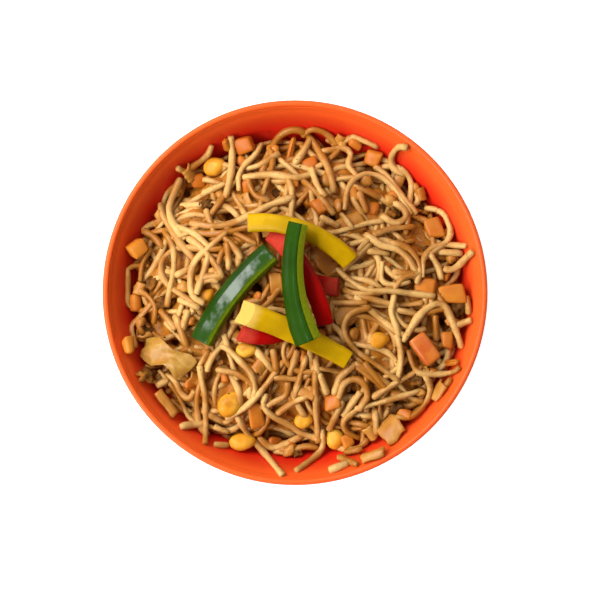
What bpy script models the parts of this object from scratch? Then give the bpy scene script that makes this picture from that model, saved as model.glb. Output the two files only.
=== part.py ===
"""A round plastic bowl heaped with sauced noodles and diced vegetables, with strips of bell pepper on top.

The bowl is a turned shell with a rolled rim and a foot ring. The heap is one solid: a core that fits the
bowl, with noodles and diced vegetables laid over it and fused on. Every piece is laid in turn and comes to
rest on whatever is already under it. The pepper strips and the cabbage leaf stay separate pieces.

Plan directions: +X is right and +Y is away, as the bowl is seen from above. +Z is up, and the origin is the
middle of the foot. Sizes are in metres.
"""

import math

import bmesh
import bpy
import numpy as np
from mathutils import Matrix, Vector, noise

MM = 0.001

# Bowl
RIM_RADIUS = 80 * MM
RIM_HEIGHT = 60 * MM
RIM_BEAD = 1.3 * MM
RIM_STEP = 0.45 * MM
WALL = 2.2 * MM
FLOOR_RADIUS = 36 * MM
FLOOR_HEIGHT = 4.5 * MM
WALL_CURVE = 0.65
FOOT_OUTER = 37.4 * MM
FOOT_INNER = 33.6 * MM
FOOT_RECESS = FLOOR_HEIGHT - WALL
BOWL_STEPS = 56
INNER_RADIUS = RIM_RADIUS - 2 * RIM_BEAD

# Heap
HEAP_GAP = 0.5 * MM
HEAP_TOP = 57.5 * MM
HEAP_ROUNDNESS = 2.6
EDGE_LEVELS = [z * MM for z in (49, 40, 38.5, 41, 43.5, 44, 37.5, 48.5)]
CORE_BUMP = 0.8 * MM
CORE_BUMP_SPACING = 7 * MM
CORE_STEPS = 40

# Laid pieces
NOODLE_RADIUS = 1.45 * MM
NOODLE_SIDES = 5
NOODLE_STEP = 4 * MM
PRESSED_IN = 0.6 * MM
STIFFNESS_ROUNDS = 12
CLEARANCE = 0.45 * MM
CELL = 0.5 * MM

# Noodles that fill what the listed ones leave bare, each the barest of a few drawn at random
FILL_SEED = 7
FILL_COUNT = 22
FILL_DRAWS = 60
FILL_LENGTHS = (18 * MM, 34 * MM)
FILL_REACH = 67 * MM
SPREAD = (-3 * MM, 0, 3 * MM)

COLOURS = {
    "bowl_orange": ((0.90, 0.145, 0.022, 1), 0.30),
    "noodle": ((0.62, 0.36, 0.13, 1), 0.40),
    "green_pepper": ((0.035, 0.12, 0.008, 1), 0.18),
    "yellow_pepper": ((0.80, 0.50, 0.01, 1), 0.22),
    "red_pepper": ((0.58, 0.02, 0.012, 1), 0.22),
    "cabbage": ((0.80, 0.58, 0.24, 1), 0.38),
    "carrot": ((0.86, 0.24, 0.035, 1), 0.35),
}

# Each laid noodle, in millimetres: where it starts, then for each bend where it ends and how far its middle
# bows to the left of the straight line between them.
LAID_NOODLES = [
    (20.8, 36.5, 45, 38, 12.4),
    (34, 53.5, 49.5, 33.5, 2.6),
    (14, 60, 25.5, 49, 4.4),
    (2.5, 64, 18.5, 62, 5.5),
    (-27.7, 66.3, -28.5, 42.5, 1.2),
    (-49, 52.5, -36.5, 60, -2.4),
    (-48.5, 48, -50.5, 28, -3),
    (-56.5, 38.5, -42.5, 14.5, -1),
    (-54.5, 27, -52.5, -3.5, 2.5),
    (-35.5, 20.5, -38.5, -5, -6.5),
    (-60.3, 18.8, -64, 2, -3),
    (-66, 1.2, -60.5, -13, 5),
    (-54.5, -9, -47.5, -21, 0.7),
    (-40, -27.5, -37.3, -63.5, 0.4),
    (-54.5, -33, -46, -44, 1),
    (-35, -22.8, -17.5, -42.5, 5),
    (-10.5, -34.5, -27, -52.5, 2),
    (-24, -51.5, -4.5, -76, 0.3),
    (-12.5, -43.5, 11, -61.8, -4),
    (-16, -60, 2.5, -60.5, -4.3),
    (-9, -66.5, 10.5, -64.5, -1),
    (11.8, -59, -0.5, -75, 3),
    (7.5, -34, 9.7, -59, 0.3),
    (5.3, -21, 0, -42, -0.8),
    (27, -27, 17, -41, -1.3),
    (19, -43, 28, -47, 9.3),
    (25, -49.5, 32.5, -59.5, -7.5),
    (29, -6.5, 22, -20, -5.5, 42.5, -37.5, -1),
    (41.5, -2, 43.3, -18, -1.8),
    (41.3, -12, 42.8, -35, 1.5),
    (19, 8.5, 32, 0.8, -0.8, 57, -1.8, 0.5),
    (28, -3.5, 39, -14.5, 0.4),
    (46, -18.3, 61.5, -7, 1.8),
    (58, -10, 58.3, -28, 0.8),
    (63, -5, 69.5, -23, 1),
    (52.5, 8, 62, 20.3, 4, 71.5, 19.5, 0.5),
    (73.5, 16, 63.5, 10, 2.2),
    (40, 20, 51, 5.5, 4.5),
    (30, 21.5, 25.3, 6.5, -2.5),
    (-20, 48, -8, 49.2, 0.8),
    (-20.5, 47.5, -14, 38.5, -1),
    (-34, 29, -20, 31.5, -1.2, 3, 40, -0.3),
    (-8.5, 46.5, 6.5, 51, -2),
    (7, 52, 11, 41, 0.7),
    (-13, 64, -24, 45, -1.5),
    (-42.5, 43, -45, 31, -1.5),
    (-23, 26, -28.5, 8, -2.5),
    (46.5, -24, 54, -34, -2.5, 66, -33, 0.4),
    (55.5, -35, 42, -51.5, 7.5),
    (27, -48, 53, -40.5, -0.6),
    (42.5, -37, 33, -43, 0.5),
]

# Each diced vegetable, in millimetres: kind, middle in plan, size along, across and up, and turn in degrees.
DICED_VEGETABLES = [
    ("kernel", -34, 53.5, 9.5, 8.5, 6.5, 20),
    ("kernel", -27, -46.5, 10, 8.5, 7, 35),
    ("kernel", 17, -61, 8, 10, 7, 5),
    ("kernel", 3.8, -53.5, 8, 7, 6, 10),
    ("kernel", 34.8, -20, 9, 7.5, 6, 10),
    ("kernel", -22, -63, 9, 8, 6, 60),
    ("dice", -66.5, 19, 8, 6.5, 6, 30),
    ("dice", 16, -46, 7, 6.5, 6, 12),
    ("dice", 54.5, 2, 9, 8.5, 5, -8),
    ("kernel", 65, -0.5, 11, 8, 6, 5),
    ("dice", 58, 27, 8, 8, 5.5, 15),
    ("dice", 63.5, -20, 5, 6, 5, 5),
    ("dice", -16, -53, 8, 9, 6, 20),
    ("dice", 33, 57, 6.5, 7, 5, -20),
    ("dice", 10.5, 36, 6.5, 7, 5.5, 30),
    ("dice", 40.5, -58, 9, 9, 3.5, 40),
    ("dice", -21.5, 62.5, 8, 8, 6, 15),
    ("dice", 23.5, 28, 10, 8, 3.5, 25),
    ("dice", -42, -23, 6.5, 6.5, 5, 10),
]

# Each pepper strip: colour, the plan run as for a noodle, width of skin and thickness of flesh in millimetres,
# roll in degrees that turns the skin to the right of the run, size at the run's end as a share of that at its
# start, and how far the cut at the start slants, as a share of the thickness. The lowest comes first.
PEPPER_STRIPS = {
    "red_pepper_right": ("red_pepper", (18, 1.8, 4, 5, 0.5), 7.5, 3.6, 0, 1, 0.8),
    "red_pepper_long": ("red_pepper", (-9.5, 24.5, 12.5, -13.5, 3.2), 8, 3.6, 12, 0.85, 0),
    "red_pepper_lower": ("red_pepper", (-22.3, -16.8, -5, -16.5, -1.5), 7.5, 3.6, 14, 1, 0.6),
    "green_pepper_left": ("green_pepper", (-10, 16.3, -39, -20.5, -2.6), 10, 4.4, 24, 0.95, 0),
    "yellow_pepper_lower": ("yellow_pepper", (-20.5, -9, 22, -28.3, 1.3), 9.8, 4.2, 4, 0.75, 1.4),
    "yellow_pepper_upper": ("yellow_pepper", (-19.5, 28.3, 22.7, 12.6, 5), 7.4, 4, 8, 1.1, 0.5),
    "green_pepper_right": ("green_pepper", (1, 27.5, 5, -21, -4.2), 8.6, 5, 50, 1.4, 0),
}
STRIP_STATIONS = 10

# Pale cabbage leaf, and the stick of carrot at the right
LEAF_RUN = (-64, -23, -44, -33, 1.5)
LEAF_WIDTHS = [w * MM for w in (8, 11, 12.5, 10, 7.5, 9, 12, 11)]
LEAF_THICKNESS = 0.9 * MM
LEAF_WAVE = 0.9 * MM
CARROT_RUN = (50, -18.5, 58, -29, 0)
CARROT_WIDTH = 8 * MM
CARROT_DEPTH = 5.5 * MM


def clear_scene():
    for old in list(bpy.data.objects):
        bpy.data.objects.remove(old, do_unlink=True)


def new_collection(name):
    made = bpy.data.collections.new(name)
    bpy.context.scene.collection.children.link(made)
    return made


def material(name):
    made = bpy.data.materials.get(name)
    if made is None:
        made = bpy.data.materials.new(name)
        made.use_nodes = True
        shader = made.node_tree.nodes["Principled BSDF"]
        colour, roughness = COLOURS[name]
        shader.inputs["Base Color"].default_value = colour
        shader.inputs["Roughness"].default_value = roughness
        shader.inputs["Metallic"].default_value = 0
    return made


def wall_radius(z):
    """Inner radius of the bowl at height z."""
    rise = max(0.0, (z - FLOOR_HEIGHT) / (RIM_HEIGHT - FLOOR_HEIGHT))
    return FLOOR_RADIUS + (INNER_RADIUS - FLOOR_RADIUS) * rise**WALL_CURVE


def wall_height(r):
    """Height of the bowl's inner surface at radius r; it is the inverse of wall_radius."""
    run = np.clip((r - FLOOR_RADIUS) / (INNER_RADIUS - FLOOR_RADIUS), 0, None)
    return FLOOR_HEIGHT + (RIM_HEIGHT - FLOOR_HEIGHT) * run ** (1 / WALL_CURVE)


def edge_level(angle):
    """Height at which the heap meets the wall, eased between its eight compass values."""
    turn = angle / math.tau * len(EDGE_LEVELS) % len(EDGE_LEVELS)
    first = int(turn)
    ease = (1 - math.cos(math.pi * (turn - first))) / 2
    following = (first + 1) % len(EDGE_LEVELS)
    return EDGE_LEVELS[first] * (1 - ease) + EDGE_LEVELS[following] * ease


def heap_height(x, y):
    """Top of the core at a point in plan: a dome from the wall up to the middle, with low bumps."""
    angle = math.atan2(y, x)
    level = edge_level(angle)
    reach = wall_radius(level) - HEAP_GAP
    share = min(1.0, math.hypot(x, y) / reach)
    bump = noise.noise(Vector((x, y, 0)) / CORE_BUMP_SPACING) * CORE_BUMP * (1 - share**4)
    return level + (HEAP_TOP - level) * (1 - share**HEAP_ROUNDNESS) + bump


def turned(name, profile, steps):
    """A closed solid of revolution about Z. The profile starts and ends on the axis."""
    mesh = bpy.data.meshes.new(name)
    points = [(r, 0, z) for r, z in profile]
    mesh.from_pydata(points, [(i, i + 1) for i in range(len(points) - 1)], [])
    obj = bpy.data.objects.new(name, mesh)
    screw = obj.modifiers.new("turn", "SCREW")
    screw.axis = "Z"
    screw.angle = math.tau
    screw.steps = screw.render_steps = steps
    screw.use_merge_vertices = True
    screw.merge_threshold = 1e-5
    return obj


def bowl_profile():
    """Half outline of the bowl, from the inner middle up over the rim and down to the underside."""
    rises = [0, 0.02, 0.07, 0.17, 0.34, 0.6, 0.9]
    inner = [
        (wall_radius(z), z)
        for z in (FLOOR_HEIGHT + (RIM_HEIGHT - FLOOR_HEIGHT) * rise for rise in rises)
    ]
    outer = []
    for (r0, z0), (r1, z1) in zip(inner[1:], inner[2:] + [(INNER_RADIUS - RIM_STEP, RIM_HEIGHT)]):
        along = Vector((r1 - r0, z1 - z0)).normalized()
        outer.append((r0 + along.y * WALL, z0 - along.x * WALL))
    bead_middle = (RIM_RADIUS - RIM_BEAD, RIM_HEIGHT - RIM_BEAD)
    bead = [
        (
            bead_middle[0] - RIM_BEAD * math.cos(turn),
            bead_middle[1] + RIM_BEAD * math.sin(turn),
        )
        for turn in (math.pi * k / 6 for k in range(7))
    ]
    lip = [
        (INNER_RADIUS - RIM_STEP * 1.6, bead_middle[1] - RIM_BEAD * 1.2),
        (INNER_RADIUS - RIM_STEP, bead_middle[1] - RIM_BEAD * 0.5),
    ]
    under_bead = [(RIM_RADIUS - RIM_BEAD * 1.5, RIM_HEIGHT - RIM_BEAD * 2.5)]
    foot = [
        (FOOT_OUTER, 0),
        (FOOT_INNER, 0),
        (FOOT_INNER - 0.6 * MM, FOOT_RECESS),
        (0, FOOT_RECESS),
    ]
    outside = [(r, z) for r, z in reversed(outer) if z > FOOT_RECESS + 0.2 * MM]
    return [(0, FLOOR_HEIGHT)] + inner + lip + bead + under_bead + outside + foot


def as_mesh(obj, collection):
    """Replaces a curve or modified object by its evaluated mesh, with doubles merged."""
    bpy.context.view_layer.update()
    depsgraph = bpy.context.evaluated_depsgraph_get()
    mesh = bpy.data.meshes.new_from_object(obj.evaluated_get(depsgraph))
    work = bmesh.new()
    work.from_mesh(mesh)
    bmesh.ops.remove_doubles(work, verts=work.verts, dist=1e-6)
    bmesh.ops.triangulate(work, faces=work.faces)
    work.to_mesh(mesh)
    work.free()
    solid = bpy.data.objects.new(obj.name, mesh)
    solid.matrix_world = obj.matrix_world.copy()
    name = obj.name
    bpy.data.objects.remove(obj, do_unlink=True)
    solid.name = name
    collection.objects.link(solid)
    return solid


def make_bowl(collection):
    bowl = turned("bowl", bowl_profile(), BOWL_STEPS)
    collection.objects.link(bowl)
    bowl.data.materials.append(material("bowl_orange"))
    bowl.data.shade_smooth()
    return bowl


def make_core(collection):
    """The heap's core: turned to the bowl's inner curve, then its edge and top moved to the heap's form."""
    floor = FLOOR_HEIGHT + HEAP_GAP
    middle_level = sum(EDGE_LEVELS) / len(EDGE_LEVELS)
    rises = [0, 0.015, 0.06, 0.15, 0.3, 0.5, 0.75, 1]
    shares = [0.93, 0.83, 0.71, 0.58, 0.45, 0.32, 0.17, 0]
    wall = [(wall_radius(floor + (middle_level - floor) * t) - HEAP_GAP, t) for t in rises]
    top = [(wall[-1][0] * share, 2 - share) for share in shares]
    profile = [(r, z) for r, z in reversed([(0, 0)] + wall + top)]
    core = turned("core", profile, CORE_STEPS)
    collection.objects.link(core)
    core = as_mesh(core, collection)
    reach = wall[-1][0]
    for vertex in core.data.vertices:
        x, y, rank = vertex.co
        radius = math.hypot(x, y)
        angle = math.atan2(y, x)
        level = edge_level(angle)
        if rank <= 1:
            height = floor + (level - floor) * rank
            wanted = radius if rank == 0 else wall_radius(height) - HEAP_GAP
            scale = wanted / radius if radius > 0 else 0
            vertex.co = (x * scale, y * scale, height)
        else:
            scale = (wall_radius(level) - HEAP_GAP) / reach
            vertex.co = (x * scale, y * scale, heap_height(x * scale, y * scale))
    return core


def plan_run(run, step):
    """Points in plan along a chain of circular arcs, evenly spaced. The run is in millimetres."""
    x, y = run[0] * MM, run[1] * MM
    points = [(x, y)]
    for k in range(2, len(run), 3):
        end_x, end_y, bow = (v * MM for v in run[k : k + 3])
        chord = Vector((end_x - x, end_y - y))
        left = Vector((-chord.y, chord.x)).normalized()
        middle = Vector((x, y)) + chord / 2
        for share in (i / 24 for i in range(1, 25)):
            if abs(bow) < 0.05 * MM:
                point = Vector((x, y)) + chord * share
            else:
                radius = (chord.length**2 / 4 + bow**2) / (2 * bow)
                centre = middle + left * (bow - radius)
                spoke = Vector((x, y)) - centre
                half = 2 * math.atan2(2 * bow, chord.length)
                point = centre + Matrix.Rotation(-2 * half * share, 2) @ spoke
            points.append(tuple(point))
        x, y = end_x, end_y
    return evenly(np.array(points), step)


def evenly(points, step):
    """The same line with points a step apart."""
    travelled = np.concatenate([[0], np.cumsum(np.hypot(*np.diff(points, axis=0).T))])
    count = max(3, round(travelled[-1] / step) + 1)
    stops = np.linspace(0, travelled[-1], count)
    return np.stack([np.interp(stops, travelled, points[:, i]) for i in (0, 1)], axis=1)


class Bed:
    """Height of whatever lies in the bowl, on a square grid in plan. The next piece comes to rest on it."""

    def __init__(self):
        self.half = RIM_RADIUS
        side = int(2 * self.half / CELL) + 1
        axis = np.linspace(-self.half, self.half, side)
        self.x, self.y = np.meshgrid(axis, axis, indexing="ij")
        heap = np.vectorize(heap_height)(self.x, self.y)
        radius = np.hypot(self.x, self.y)
        wall = wall_height(radius + CLEARANCE)
        beyond = radius > INNER_RADIUS - CLEARANCE
        self.height = np.where(beyond, wall, np.maximum(heap, wall))

    def at(self, x, y):
        return self.at_in(self.height, x, y)

    def at_in(self, heights, x, y):
        last = len(heights) - 1
        i = np.clip(np.rint((x + self.half) / CELL).astype(int), 0, last)
        j = np.clip(np.rint((y + self.half) / CELL).astype(int), 0, last)
        return heights[i, j]

    def under_ball(self, plan, radius):
        """Lowest height of the middle of a ball of that radius at each point in plan."""
        reach = np.arange(-radius, radius + CELL / 2, CELL)
        best = np.full(len(plan), -1.0)
        for dx in reach:
            for dy in reach:
                off = radius**2 - dx**2 - dy**2
                if off >= 0:
                    here = self.at(plan[:, 0] + dx, plan[:, 1] + dy) + math.sqrt(off)
                    best = np.maximum(best, here)
        return best

    def cover_tube(self, points, radius):
        """Raises the bed to the top of a round strand."""
        for x, y, z in dense(points, CELL):
            near = (self.x - x) ** 2 + (self.y - y) ** 2
            i, j = np.nonzero(near < radius**2)
            top = z + np.sqrt(radius**2 - near[i, j])
            self.height[i, j] = np.maximum(self.height[i, j], top)

    def cover_mesh(self, obj, margin):
        """Raises the bed to the top of a solid, widened by a margin."""
        for polygon in obj.data.polygons:
            if polygon.normal.z <= 0:
                continue
            corners = [obj.matrix_world @ obj.data.vertices[v].co for v in polygon.vertices]
            self.cover_triangle(corners, polygon.normal, margin)

    def cover_triangle(self, corners, normal, margin):
        """Raises the bed over one triangle and the margin round it."""
        middle = sum(corners, Vector()) / len(corners)
        wide = [c + (c - middle).normalized() * margin * 2 for c in corners]
        low_x, high_x = min(c.x for c in wide), max(c.x for c in wide)
        low_y, high_y = min(c.y for c in wide), max(c.y for c in wide)
        box = (self.x >= low_x) & (self.x <= high_x) & (self.y >= low_y) & (self.y <= high_y)
        i, j = np.nonzero(box)
        x, y = self.x[i, j], self.y[i, j]
        inside = np.ones(len(i), bool)
        for a, b in zip(wide, wide[1:] + wide[:1]):
            inside &= (b.x - a.x) * (y - a.y) - (b.y - a.y) * (x - a.x) >= 0
        i, j, x, y = i[inside], j[inside], x[inside], y[inside]
        plane = corners[0].z - (normal.x * (x - corners[0].x) + normal.y * (y - corners[0].y)) / normal.z
        top = np.minimum(plane, max(c.z for c in corners))
        self.height[i, j] = np.maximum(self.height[i, j], top)


def dense(points, step):
    """Points along a 3-D line a step apart."""
    points = np.asarray(points)
    travelled = np.concatenate([[0], np.cumsum(np.linalg.norm(np.diff(points, axis=0), axis=1))])
    stops = np.arange(0, travelled[-1] + step, step)
    return np.stack([np.interp(stops, travelled, points[:, i]) for i in range(3)], axis=1)


def stiffened(heights, rounds):
    """A smooth line that never goes below the heights, as a strand that bends little spans its supports."""
    line = heights.copy()
    for _ in range(rounds):
        padded = np.concatenate([[line[0]], line, [line[-1]]])
        line = np.maximum(heights, (padded[:-2] + 2 * padded[1:-1] + padded[2:]) / 4)
    return line


def lay_noodle(name, run, bed, collection):
    """A few-sided strand along a run, sagging over whatever it crosses and pressed a little into it."""
    plan = plan_run(run, NOODLE_STEP)
    rest = bed.under_ball(plan, NOODLE_RADIUS) - PRESSED_IN
    heights = stiffened(rest, STIFFNESS_ROUNDS)
    turns = [math.tau * (k + 0.25) / NOODLE_SIDES for k in range(NOODLE_SIDES)]
    section = [Vector((math.sin(-turn), math.cos(turn))) * NOODLE_RADIUS for turn in turns]
    loft(name, rings_along(plan, heights, [section] * len(plan)), collection)
    bed.cover_tube(np.column_stack([plan, heights]), NOODLE_RADIUS)


def drawn_run(draw):
    """A short curved run somewhere within FILL_REACH of the middle, in millimetres."""
    while True:
        reach, angle = FILL_REACH * math.sqrt(draw.uniform()), draw.uniform(0, math.tau)
        middle = Vector((math.cos(angle), math.sin(angle))) * reach
        heading = draw.uniform(0, math.pi)
        half = Vector((math.cos(heading), math.sin(heading))) * draw.uniform(*FILL_LENGTHS) / 2
        bow = half.length * draw.uniform(-0.7, 0.7)
        if max((middle - half).length, (middle + half).length) < FILL_REACH:
            return [v / MM for v in (*(middle - half), *(middle + half), bow)]


def lay_noodles(bed, collection):
    """The listed noodles, then seeded ones where the core shows most."""
    bare = bed.height.copy()
    for number, run in enumerate(LAID_NOODLES):
        lay_noodle(f"noodle_{number}", run, bed, collection)
    draw = np.random.default_rng(FILL_SEED)

    def cover(run):
        plan = plan_run(run, CELL)
        near = [plan + (dx, dy) for dx in SPREAD for dy in SPREAD]
        x, y = np.concatenate(near).T
        return np.mean(bed.at(x, y) - bed.at_in(bare, x, y) > 0.2 * MM)

    for number in range(FILL_COUNT):
        barest = min((drawn_run(draw) for _ in range(FILL_DRAWS)), key=cover)
        lay_noodle(f"fill_{number}", barest, bed, collection)


def lay_vegetables(bed, collection):
    """Corn kernels as low spheres and dice as boxes, each sunk into the bed and clear of the wall."""
    for number, (kind, x, y, along, across, up, turn) in enumerate(DICED_VEGETABLES):
        work = bmesh.new()
        if kind == "kernel":
            bmesh.ops.create_icosphere(work, subdivisions=1, radius=0.5)
        else:
            bmesh.ops.create_cube(work, size=1)
        size = Matrix.Diagonal((along * MM, across * MM, up * MM, 1))
        lean = Matrix.Rotation(math.radians(8), 4, "X")
        work.transform(Matrix.Rotation(math.radians(turn), 4, "Z") @ lean @ size)
        place = Vector((x * MM, y * MM, 0))
        for _ in range(8):
            place.z = float(bed.at(np.array([place.x]), np.array([place.y]))[0]) + up * MM * 0.12
            corners = [vertex.co + place for vertex in work.verts]
            crossing = max(math.hypot(c.x, c.y) - wall_radius(c.z) for c in corners) + CLEARANCE
            if crossing <= 0:
                break
            place.xy -= place.xy.normalized() * crossing
        work.transform(Matrix.Translation(place))
        mesh = bpy.data.meshes.new(f"vegetable_{number}")
        work.to_mesh(mesh)
        work.free()
        obj = bpy.data.objects.new(mesh.name, mesh)
        collection.objects.link(obj)
        bed.cover_mesh(obj, 0)


def largest_shell(obj):
    """Drops sealed hollows and loose scraps that fusing leaves, keeping the one outer shell."""
    work = bmesh.new()
    work.from_mesh(obj.data)
    unseen, shells = set(work.verts), []
    while unseen:
        queue = [unseen.pop()]
        shell = set(queue)
        while queue:
            for edge in queue.pop().link_edges:
                for vertex in edge.verts:
                    if vertex in unseen:
                        unseen.discard(vertex)
                        shell.add(vertex)
                        queue.append(vertex)
        shells.append(shell)
    shells.sort(key=len, reverse=True)
    spare = [vertex for shell in shells[1:] for vertex in shell]
    bmesh.ops.delete(work, geom=spare, context="VERTS")
    work.to_mesh(obj.data)
    work.free()


def make_heap(bed, collection):
    """Core, noodles and diced vegetables, fused into one solid."""
    fused = new_collection("fused_on_heap")
    heap = make_core(collection)
    heap.name = "noodle_heap"
    heap.data.materials.append(material("noodle"))
    lay_vegetables(bed, fused)
    lay_noodles(bed, fused)
    union = heap.modifiers.new("fuse", "BOOLEAN")
    union.operation = "UNION"
    union.operand_type = "COLLECTION"
    union.collection = fused
    union.solver = "MANIFOLD"
    bpy.context.view_layer.update()
    depsgraph = bpy.context.evaluated_depsgraph_get()
    mesh = bpy.data.meshes.new_from_object(heap.evaluated_get(depsgraph))
    heap.modifiers.clear()
    heap.data = mesh
    for piece in list(fused.objects):
        bpy.data.objects.remove(piece, do_unlink=True)
    bpy.data.collections.remove(fused)
    largest_shell(heap)
    return heap


def strip_section(width, thickness):
    """Section of a pepper strip: crowned skin above, flat cut sides, and flesh below with a shallow hollow."""
    half, rise = width / 2, thickness / 2
    return [
        Vector((-half, 0.5 * rise)),
        Vector((-half, -rise)),
        Vector((0, -0.8 * rise)),
        Vector((half, -rise)),
        Vector((half, 0.5 * rise)),
        Vector((0.75 * half, 0.87 * rise)),
        Vector((0.27 * half, rise)),
        Vector((-0.27 * half, rise)),
        Vector((-0.75 * half, 0.87 * rise)),
    ]


def loft(name, rings, collection):
    """A closed solid through rings of like count, with a fan over each end."""
    work = bmesh.new()
    loops = [[work.verts.new(point) for point in ring] for ring in rings]
    for low, high in zip(loops, loops[1:]):
        for k, start in enumerate(low):
            after = (k + 1) % len(low)
            work.faces.new((start, high[k], high[after], low[after]))
    for loop, forward in ((loops[0], True), (loops[-1], False)):
        middle = work.verts.new(sum((v.co for v in loop), Vector()) / len(loop))
        for k, start in enumerate(loop):
            after = loop[(k + 1) % len(loop)]
            work.faces.new((start, after, middle) if forward else (after, start, middle))
    bmesh.ops.recalc_face_normals(work, faces=work.faces)
    bmesh.ops.triangulate(work, faces=work.faces)
    mesh = bpy.data.meshes.new(name)
    work.to_mesh(mesh)
    work.free()
    obj = bpy.data.objects.new(name, mesh)
    collection.objects.link(obj)
    return obj


def rings_along(plan, heights, sections):
    """Sections set square to a line, each with its first axis level and to the left of the line."""
    centres = [Vector((x, y, z)) for (x, y), z in zip(plan, heights)]
    rings = []
    for k, centre in enumerate(centres):
        before, after = centres[max(0, k - 1)], centres[min(len(centres) - 1, k + 1)]
        along = (after - before).normalized()
        left = Vector((-along.y, along.x, 0)).normalized()
        up = along.cross(left)
        rings.append([centre + left * point.x + up * point.y for point in sections[k]])
    return rings


def resting_line(bed, plan, sections):
    """A gentle parabola along a stiff piece that just clears everything under its sections."""
    rings = rings_along(plan, np.zeros(len(plan)), sections)
    halfway = [[a.lerp(b, 0.5) for a, b in zip(*pair)] for pair in zip(rings, rings[1:])]
    needed = []
    for ring in [r for pair in zip(rings, halfway + rings[-1:]) for r in pair][:-1]:
        outline = [a.lerp(b, share) for a, b in zip(ring, ring[1:] + ring[:1]) for share in (0, 0.33, 0.67)]
        x, y, z = np.array(outline).T
        needed.append(float(np.max(bed.at(x, y) - z)))
    place = np.linspace(-1, 1, len(needed))
    bend = np.polynomial.polynomial.polyfit(place, needed, 2)
    bend[2] = min(0.0, bend[2])
    line = np.polynomial.polynomial.polyval(place, bend)
    return (line + max(0.0, float(np.max(needed - line))) + CLEARANCE)[::2]


def stations_on(run, count):
    """That many points in plan, evenly spaced along a run."""
    fine = plan_run(run, 0.5 * MM)
    stops = np.linspace(0, len(fine) - 1, count)
    return np.stack([np.interp(stops, np.arange(len(fine)), fine[:, i]) for i in (0, 1)], axis=1)


def make_pepper_strips(bed, collection):
    for name, (colour, run, width, thickness, roll, taper, slant) in PEPPER_STRIPS.items():
        plan = stations_on(run, STRIP_STATIONS)
        turn = Matrix.Rotation(math.radians(roll), 2)
        sections = []
        for share in np.linspace(0, 1, STRIP_STATIONS):
            size = (1 + (taper - 1) * share**2) * MM
            sections.append([turn @ point for point in strip_section(width * size, thickness * size)])
        heights = resting_line(bed, plan, sections)
        rings = rings_along(plan, heights, sections)
        along = (sum(rings[1], Vector()) - sum(rings[0], Vector())).normalized()
        for point, place in zip(sections[0], rings[0]):
            place += along * point.y * slant
        strip = loft(name, rings, collection)
        strip.data.materials.append(material(colour))
        bed.cover_mesh(strip, CLEARANCE)


def make_leaf(bed, collection):
    """A thin wavy leaf, a grid of points with the same grid under it."""
    plan = stations_on(LEAF_RUN, len(LEAF_WIDTHS))
    across = [-0.5, -0.25, 0, 0.25, 0.5]
    sections = []
    for k, width in enumerate(LEAF_WIDTHS):
        wave = [LEAF_WAVE * math.sin(1.3 * k + 5 * a) for a in across]
        upper = [Vector((-a * width, w + LEAF_THICKNESS / 2)) for a, w in zip(across, wave)]
        lower = [Vector((-a * width, w - LEAF_THICKNESS / 2)) for a, w in zip(across, wave)]
        sections.append(upper + lower[::-1])
    heights = resting_line(bed, plan, sections)
    leaf = loft("cabbage_leaf", rings_along(plan, heights, sections), collection)
    leaf.data.materials.append(material("cabbage"))
    bed.cover_mesh(leaf, CLEARANCE)


def make_carrot(bed, collection):
    """A short thick stick with bevelled edges."""
    plan = stations_on(CARROT_RUN, 4)
    half, rise, cut = CARROT_WIDTH / 2, CARROT_DEPTH / 2, 0.9 * MM
    corners = [(-half, -rise), (half, -rise), (half, rise), (-half, rise)]
    section = []
    for (ax, ay), (bx, by) in zip(corners, corners[1:] + corners[:1]):
        edge = Vector((bx - ax, by - ay)).normalized()
        section.append(Vector((ax, ay)) + edge * cut)
        section.append(Vector((bx, by)) - edge * cut)
    sections = [[p * s for p in section] for s in (0.86, 1, 1, 0.84)]
    heights = resting_line(bed, plan, sections)
    stick = loft("carrot_stick", rings_along(plan, heights, sections), collection)
    stick.data.materials.append(material("carrot"))
    bed.cover_mesh(stick, CLEARANCE)


def main():
    clear_scene()
    parts = new_collection("bowl_of_noodles")
    bed = Bed()
    make_bowl(parts)
    make_heap(bed, parts)
    make_leaf(bed, parts)
    make_carrot(bed, parts)
    make_pepper_strips(bed, parts)


if __name__ == "__main__":
    main()
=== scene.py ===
"""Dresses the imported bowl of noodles: sauced noodles laid one by one, vegetables and strips of pepper.

Everything loose is laid in turn on a height map of the bowl, so each piece rests on those before it. Plan
directions are those of the frame: +X right, +Y away, +Z up. Lengths are in metres.
"""

import functools
import math

import bmesh
import bpy
import numpy as np
from bpy.props import FloatProperty, FloatVectorProperty, IntProperty, PointerProperty
from mathutils import Matrix, Vector, noise
from mathutils.bvhtree import BVHTree


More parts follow.
